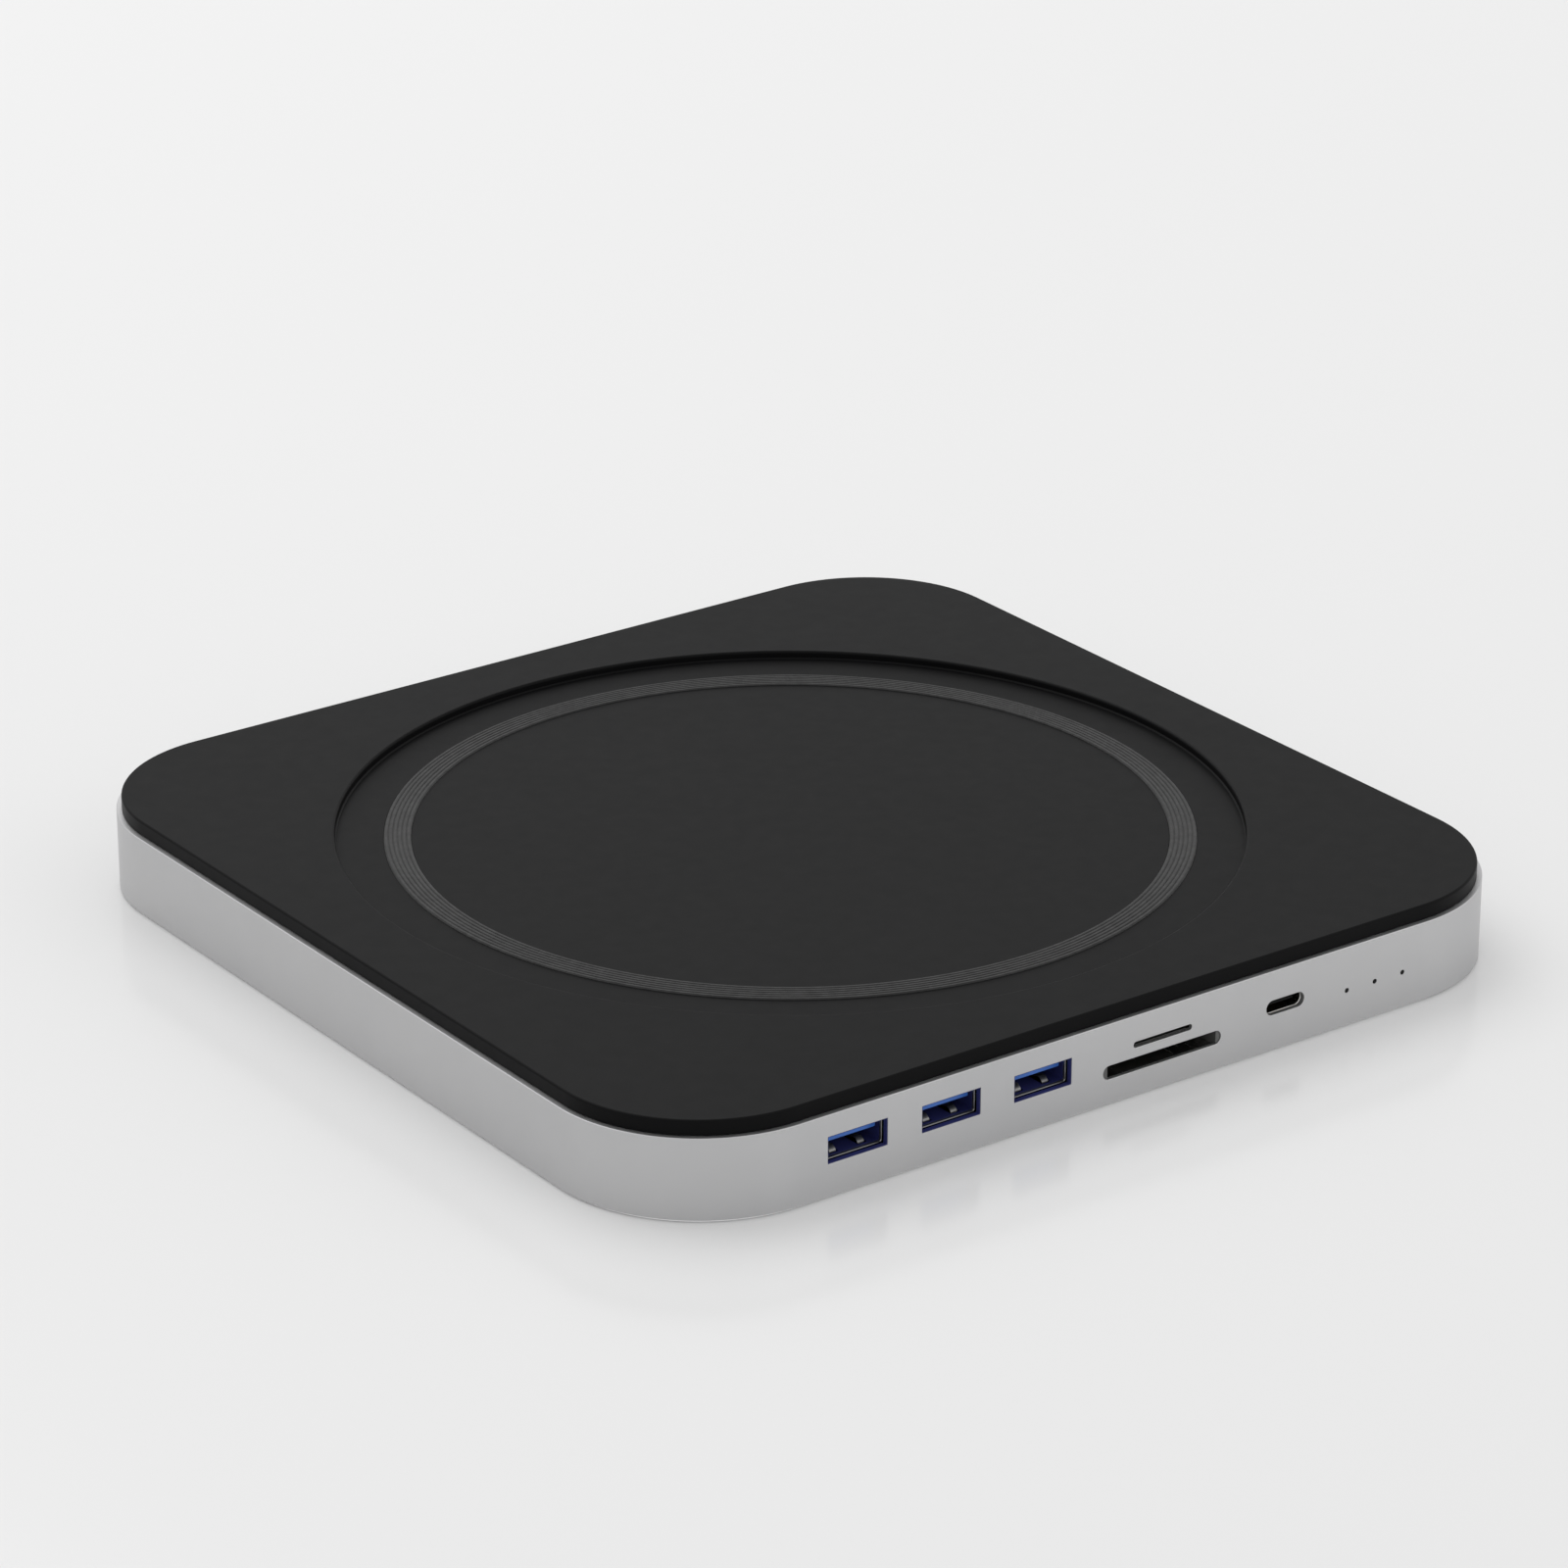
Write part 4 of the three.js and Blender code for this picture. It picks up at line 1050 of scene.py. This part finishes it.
def chip(node, pins, pitch):
    """A moulded package with a dot at pin 1 and its leads along all four sides."""
    low, high = span(node)
    centre, width, depth = (low + high) / 2, high.x - low.x, high.y - low.y
    height = high.z - low.z

    def outline(inset):
        return rounded(width - 2 * inset, depth - 2 * inset, 0.2, 3, (centre.x, centre.y))

    def package(bm):
        rows = [(0.12, low.z + 0.02), (0, low.z + 0.1), (0, high.z - 0.1), (0.1, high.z)]
        stack(bm, rows, outline)

    def dot(bm):
        lathe(bm, [(0.35, high.z - 0.08), (0.45, high.z + 0.5)], 24, (low.x + 1.1, high.y - 1.1))

    def leads(bm):
        for i in range(pins):
            along = (i - (pins - 1) / 2) * pitch
            for side in (-1, 1):
                for across in (False, True):
                    reach = (width if across else depth) / 2
                    ends = sorted((side * (reach - 0.3), side * (reach + 0.25)))
                    flank = (along - pitch * 0.28, along + pitch * 0.28)
                    xs, ys = (ends, flank) if across else (flank, ends)
                    xs = [centre.x + v for v in xs]
                    ys = [centre.y + v for v in ys]
                    box(bm, *xs, *ys, low.z, low.z + height * 0.16)

    obj = mesh_object(f"{node}_package", package)
    carve(obj, dot)
    place(obj, CHIP, [node])
    return place(mesh_object(f"{node}_leads", leads), SOLDER)


def small_parts():
    """Rows of small resistors and capacitors in the main board's free areas, on its upper face."""
    areas = [(-64, -45, -66, -54), (-26, -8, -84, -76), (20, 34, -66, -54)]
    areas += [(56, 62, -84, -66), (-60, -52, -84, -70)]
    sizes = [(1.0, 0.5, 0.5), (1.6, 0.8, 0.8), (2.0, 1.25, 0.6)]
    pitch_x, pitch_y, empty_share = 3.1, 2.2, 0.3
    pick = random.Random(7)
    spots = []
    for x0, x1, y0, y1 in areas:
        y = y0
        while y < y1:
            x = x0
            while x < x1:
                if pick.random() > empty_share:
                    spots.append((x, y, pick.choice(sizes)))
                x += pitch_x
            y += pitch_y

    def bodies(bm):
        for x, y, (length, width, height) in spots:
            half, flank = length * 0.3, width / 2
            box(bm, x - half, x + half, y - flank, y + flank, BOARD_TOP, BOARD_TOP + height)

    def ends(bm):
        for x, y, (length, width, height) in spots:
            flank, top = width * 0.52, BOARD_TOP + height * 1.03
            for side in (-1, 1):
                edges = sorted((x + side * length * 0.3, x + side * length * 0.5))
                box(bm, *edges, y - flank, y + flank, BOARD_TOP, top)

    place(mesh_object("small_parts", bodies), CERAMIC)
    return place(mesh_object("small_parts_ends", ends), SOLDER)


def power_inductor():
    """A square shielded inductor with a round winding window."""
    node = "power_inductor"
    low, high = span(node)
    middle = ((low.x + high.x) / 2, (low.y + high.y) / 2)
    side = high.x - low.x

    def outline(inset):
        return rounded(side - 2 * inset, side - 2 * inset, 1.0, 5, middle)

    def case(bm):
        rows = [(0.2, low.z), (0, low.z + 0.2), (0, high.z - 0.3), (0.3, high.z)]
        stack(bm, rows, outline)

    def window(bm):
        lathe(bm, [(2.1, high.z - 0.25), (2.3, high.z + 1)], 40, middle)

    return place(carve(mesh_object("inductor_case", case), window), CHIP, [node])


def pinhole_painted_shade_plugs():
    """Dark plugs that close the three pinholes in front of the light guide, just behind the face;
    their near-black paints the shade inside the pinholes.
    """

    def build(bm):
        for x in PINHOLES["xs"]:
            outline = circle(PINHOLES["radius"] - 0.01, 24, (x, PINHOLES["z"]))
            loft(bm, [at_y(outline, FACE + depth) for depth in (0.04, 0.14)])

    return place(mesh_object("pinhole_painted_shade_plugs", build), ACRYLIC)


def inner_parts():
    """The plain inner parts, which keep their CAD shapes."""
    for node in ("main_board", "rear_board"):
        soften(node, BOARD, 0.06)
    soften("drive_cradle", BLACK, 0.2)
    soften("ribbon_cable", FILM, 0.04)
    soften("light_guide", ACRYLIC, 0.05)
    soften("crystal", STEEL, 0.25, 3)
    soften("hinge_pin", STEEL, 0.1)
    for node in ("ribbon_socket_front", "ribbon_socket_rear"):
        soften(node, NYLON, 0.1)
    for node in ("led_power", "led_drive", "led_card"):
        soften(node, LED, 0.08)
    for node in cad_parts:
        if node.startswith(("board_screw", "rear_board_screw", "cradle_screw")):
            soften(node, SCREW, 0.08)
    drive_connector()
    chip("hub_controller_chip", 15, 0.5)
    chip("card_reader_chip", 9, 0.5)
    chip("drive_bridge_chip", 11, 0.5)
    power_inductor()
    small_parts()
    pinhole_painted_shade_plugs()


# Drive bay door -----------------------------------------------------------------------------------


def door():
    """Keeps the door and its latch, and gives the foam pad on the door its soft edges."""
    soften("bay_door", BLACK, 0.18)
    soften("door_latch", STEEL, 0.12)
    low, high = span("door_pad")
    centre = ((low.x + high.x) / 2, (low.y + high.y) / 2)
    width, depth = high.x - low.x, high.y - low.y
    rows = [(0.35, low.z), (0, low.z + 0.35)]
    rows += [(0.05, high.z - 0.7), (0.35, high.z - 0.2), (1.0, high.z)]

    def outline(inset):
        return rounded(width - 2 * inset, depth - 2 * inset, 2.5, 6, centre)

    def pad(bm):
        stack(bm, rows, outline)

    obj = place(mesh_object("foam_pad", pad), FOAM, ["door_pad"], "door")
    return obj


# Stage --------------------------------------------------------------------------------------------


def floor_material():
    """A pale, slightly glossy sheet that can be seen through from below."""
    s = Shader("studio_floor", (0.82, 0.82, 0.82), 0.17)
    clear = s.nodes.new("ShaderNodeBsdfTransparent")
    mix = s.nodes.new("ShaderNodeMixShader")
    side = s.nodes.new("ShaderNodeNewGeometry")
    s.links.new(side.outputs["Backfacing"], mix.inputs["Fac"])
    s.links.new(s.surface.outputs["BSDF"], mix.inputs[1])
    s.links.new(clear.outputs["BSDF"], mix.inputs[2])
    s.links.new(mix.outputs["Shader"], s.nodes["Material Output"].inputs["Surface"])
    return s.material


FLOOR = {"inset": 0.65, "spread": 65}  # spread is the sheet's size, in footprints


def floor_sheet():
    """A wide sheet that is open under the hub, so that light from below reaches the underside."""
    near = footprint(FLOOR["inset"])
    count = len(near)
    points = near + [(x * FLOOR["spread"], y * FLOOR["spread"]) for x, y in near]
    faces = [(i, i + count, (i + 1) % count + count, (i + 1) % count) for i in range(count)]
    mesh = bpy.data.meshes.new("studio_floor")
    mesh.from_pydata([(x * MM, y * MM, 0) for x, y in points], [], faces)
    return mesh


def stage():
    floor = bpy.data.objects.new("studio_floor", floor_sheet())
    bpy.context.scene.collection.objects.link(floor)
    floor.data.materials.append(floor_material())
    world = bpy.data.worlds.new("studio")
    world.use_nodes = True
    background = world.node_tree.nodes["Background"].inputs
    background["Color"].default_value = (1, 1, 1, 1)
    background["Strength"].default_value = 0.80
    bpy.context.scene.world = world


def area_light(name, location, target, size, power):
    """A panel that faces target. Lengths are in metres and power is in watts."""
    light = bpy.data.lights.new(name, "AREA")
    light.shape = "RECTANGLE"
    light.size, light.size_y = size
    light.energy = power
    obj = bpy.data.objects.new(name, light)
    obj.location = location
    aim = Vector(target) - Vector(location)
    obj.rotation_euler = aim.to_track_quat("-Z", "Y").to_euler()
    bpy.context.scene.collection.objects.link(obj)


def lights():
    """A wide panel over the back, and a large dim one in front on the right."""
    area_light("overhead", (-0.1, 1.3, 1.6), (0, 0.9, 0), (2.2, 1.6), 14)
    area_light("front_fill", (1.4, -1.75, 0.9), (0, 0, 0), (3.0, 1.6), 6.5)


def camera():
    """A long lens from the front left, looking down at 23 degrees. It was fitted to the photo."""
    data = bpy.data.cameras.new("camera")
    data.lens = 135.45
    data.clip_start = 0.05
    obj = bpy.data.objects.new("camera", data)
    azimuth, elevation, distance = math.radians(-35.967), math.radians(23.056), 1.15146
    target = Vector((0.03399, 0.04886, 0.0004))
    flat = math.cos(elevation)
    back = Vector((math.sin(azimuth) * flat, -math.cos(azimuth) * flat, math.sin(elevation)))
    obj.location = target + back * distance
    obj.rotation_euler = (-back).to_track_quat("-Z", "Y").to_euler()
    bpy.context.scene.collection.objects.link(obj)
    bpy.context.scene.camera = obj


# The scene ----------------------------------------------------------------------------------------

camera()
stage()
lights()
bpy.context.scene.view_settings.view_transform = "Standard"

side_frame()
top_tray()
grip_ring()
base_plate()
for index, (sx, sy) in enumerate(CORNERS, 1):
    rubber_foot(index, sx, sy)
    case_screw(index, sx, sy)
for index in (1, 2, 3):
    usb_a_shell(index)
    usb_a_insert(index)
    usb_a_lining(index)
usb_c_socket("usb_c_front", USB_C["x"], span("usb_c_front_shell")[0].y, 1)
usb_c_socket("usb_c_host", HOST["x"], span("usb_c_host_shell")[1].y, -1)
card_sockets()
inner_parts()
door()
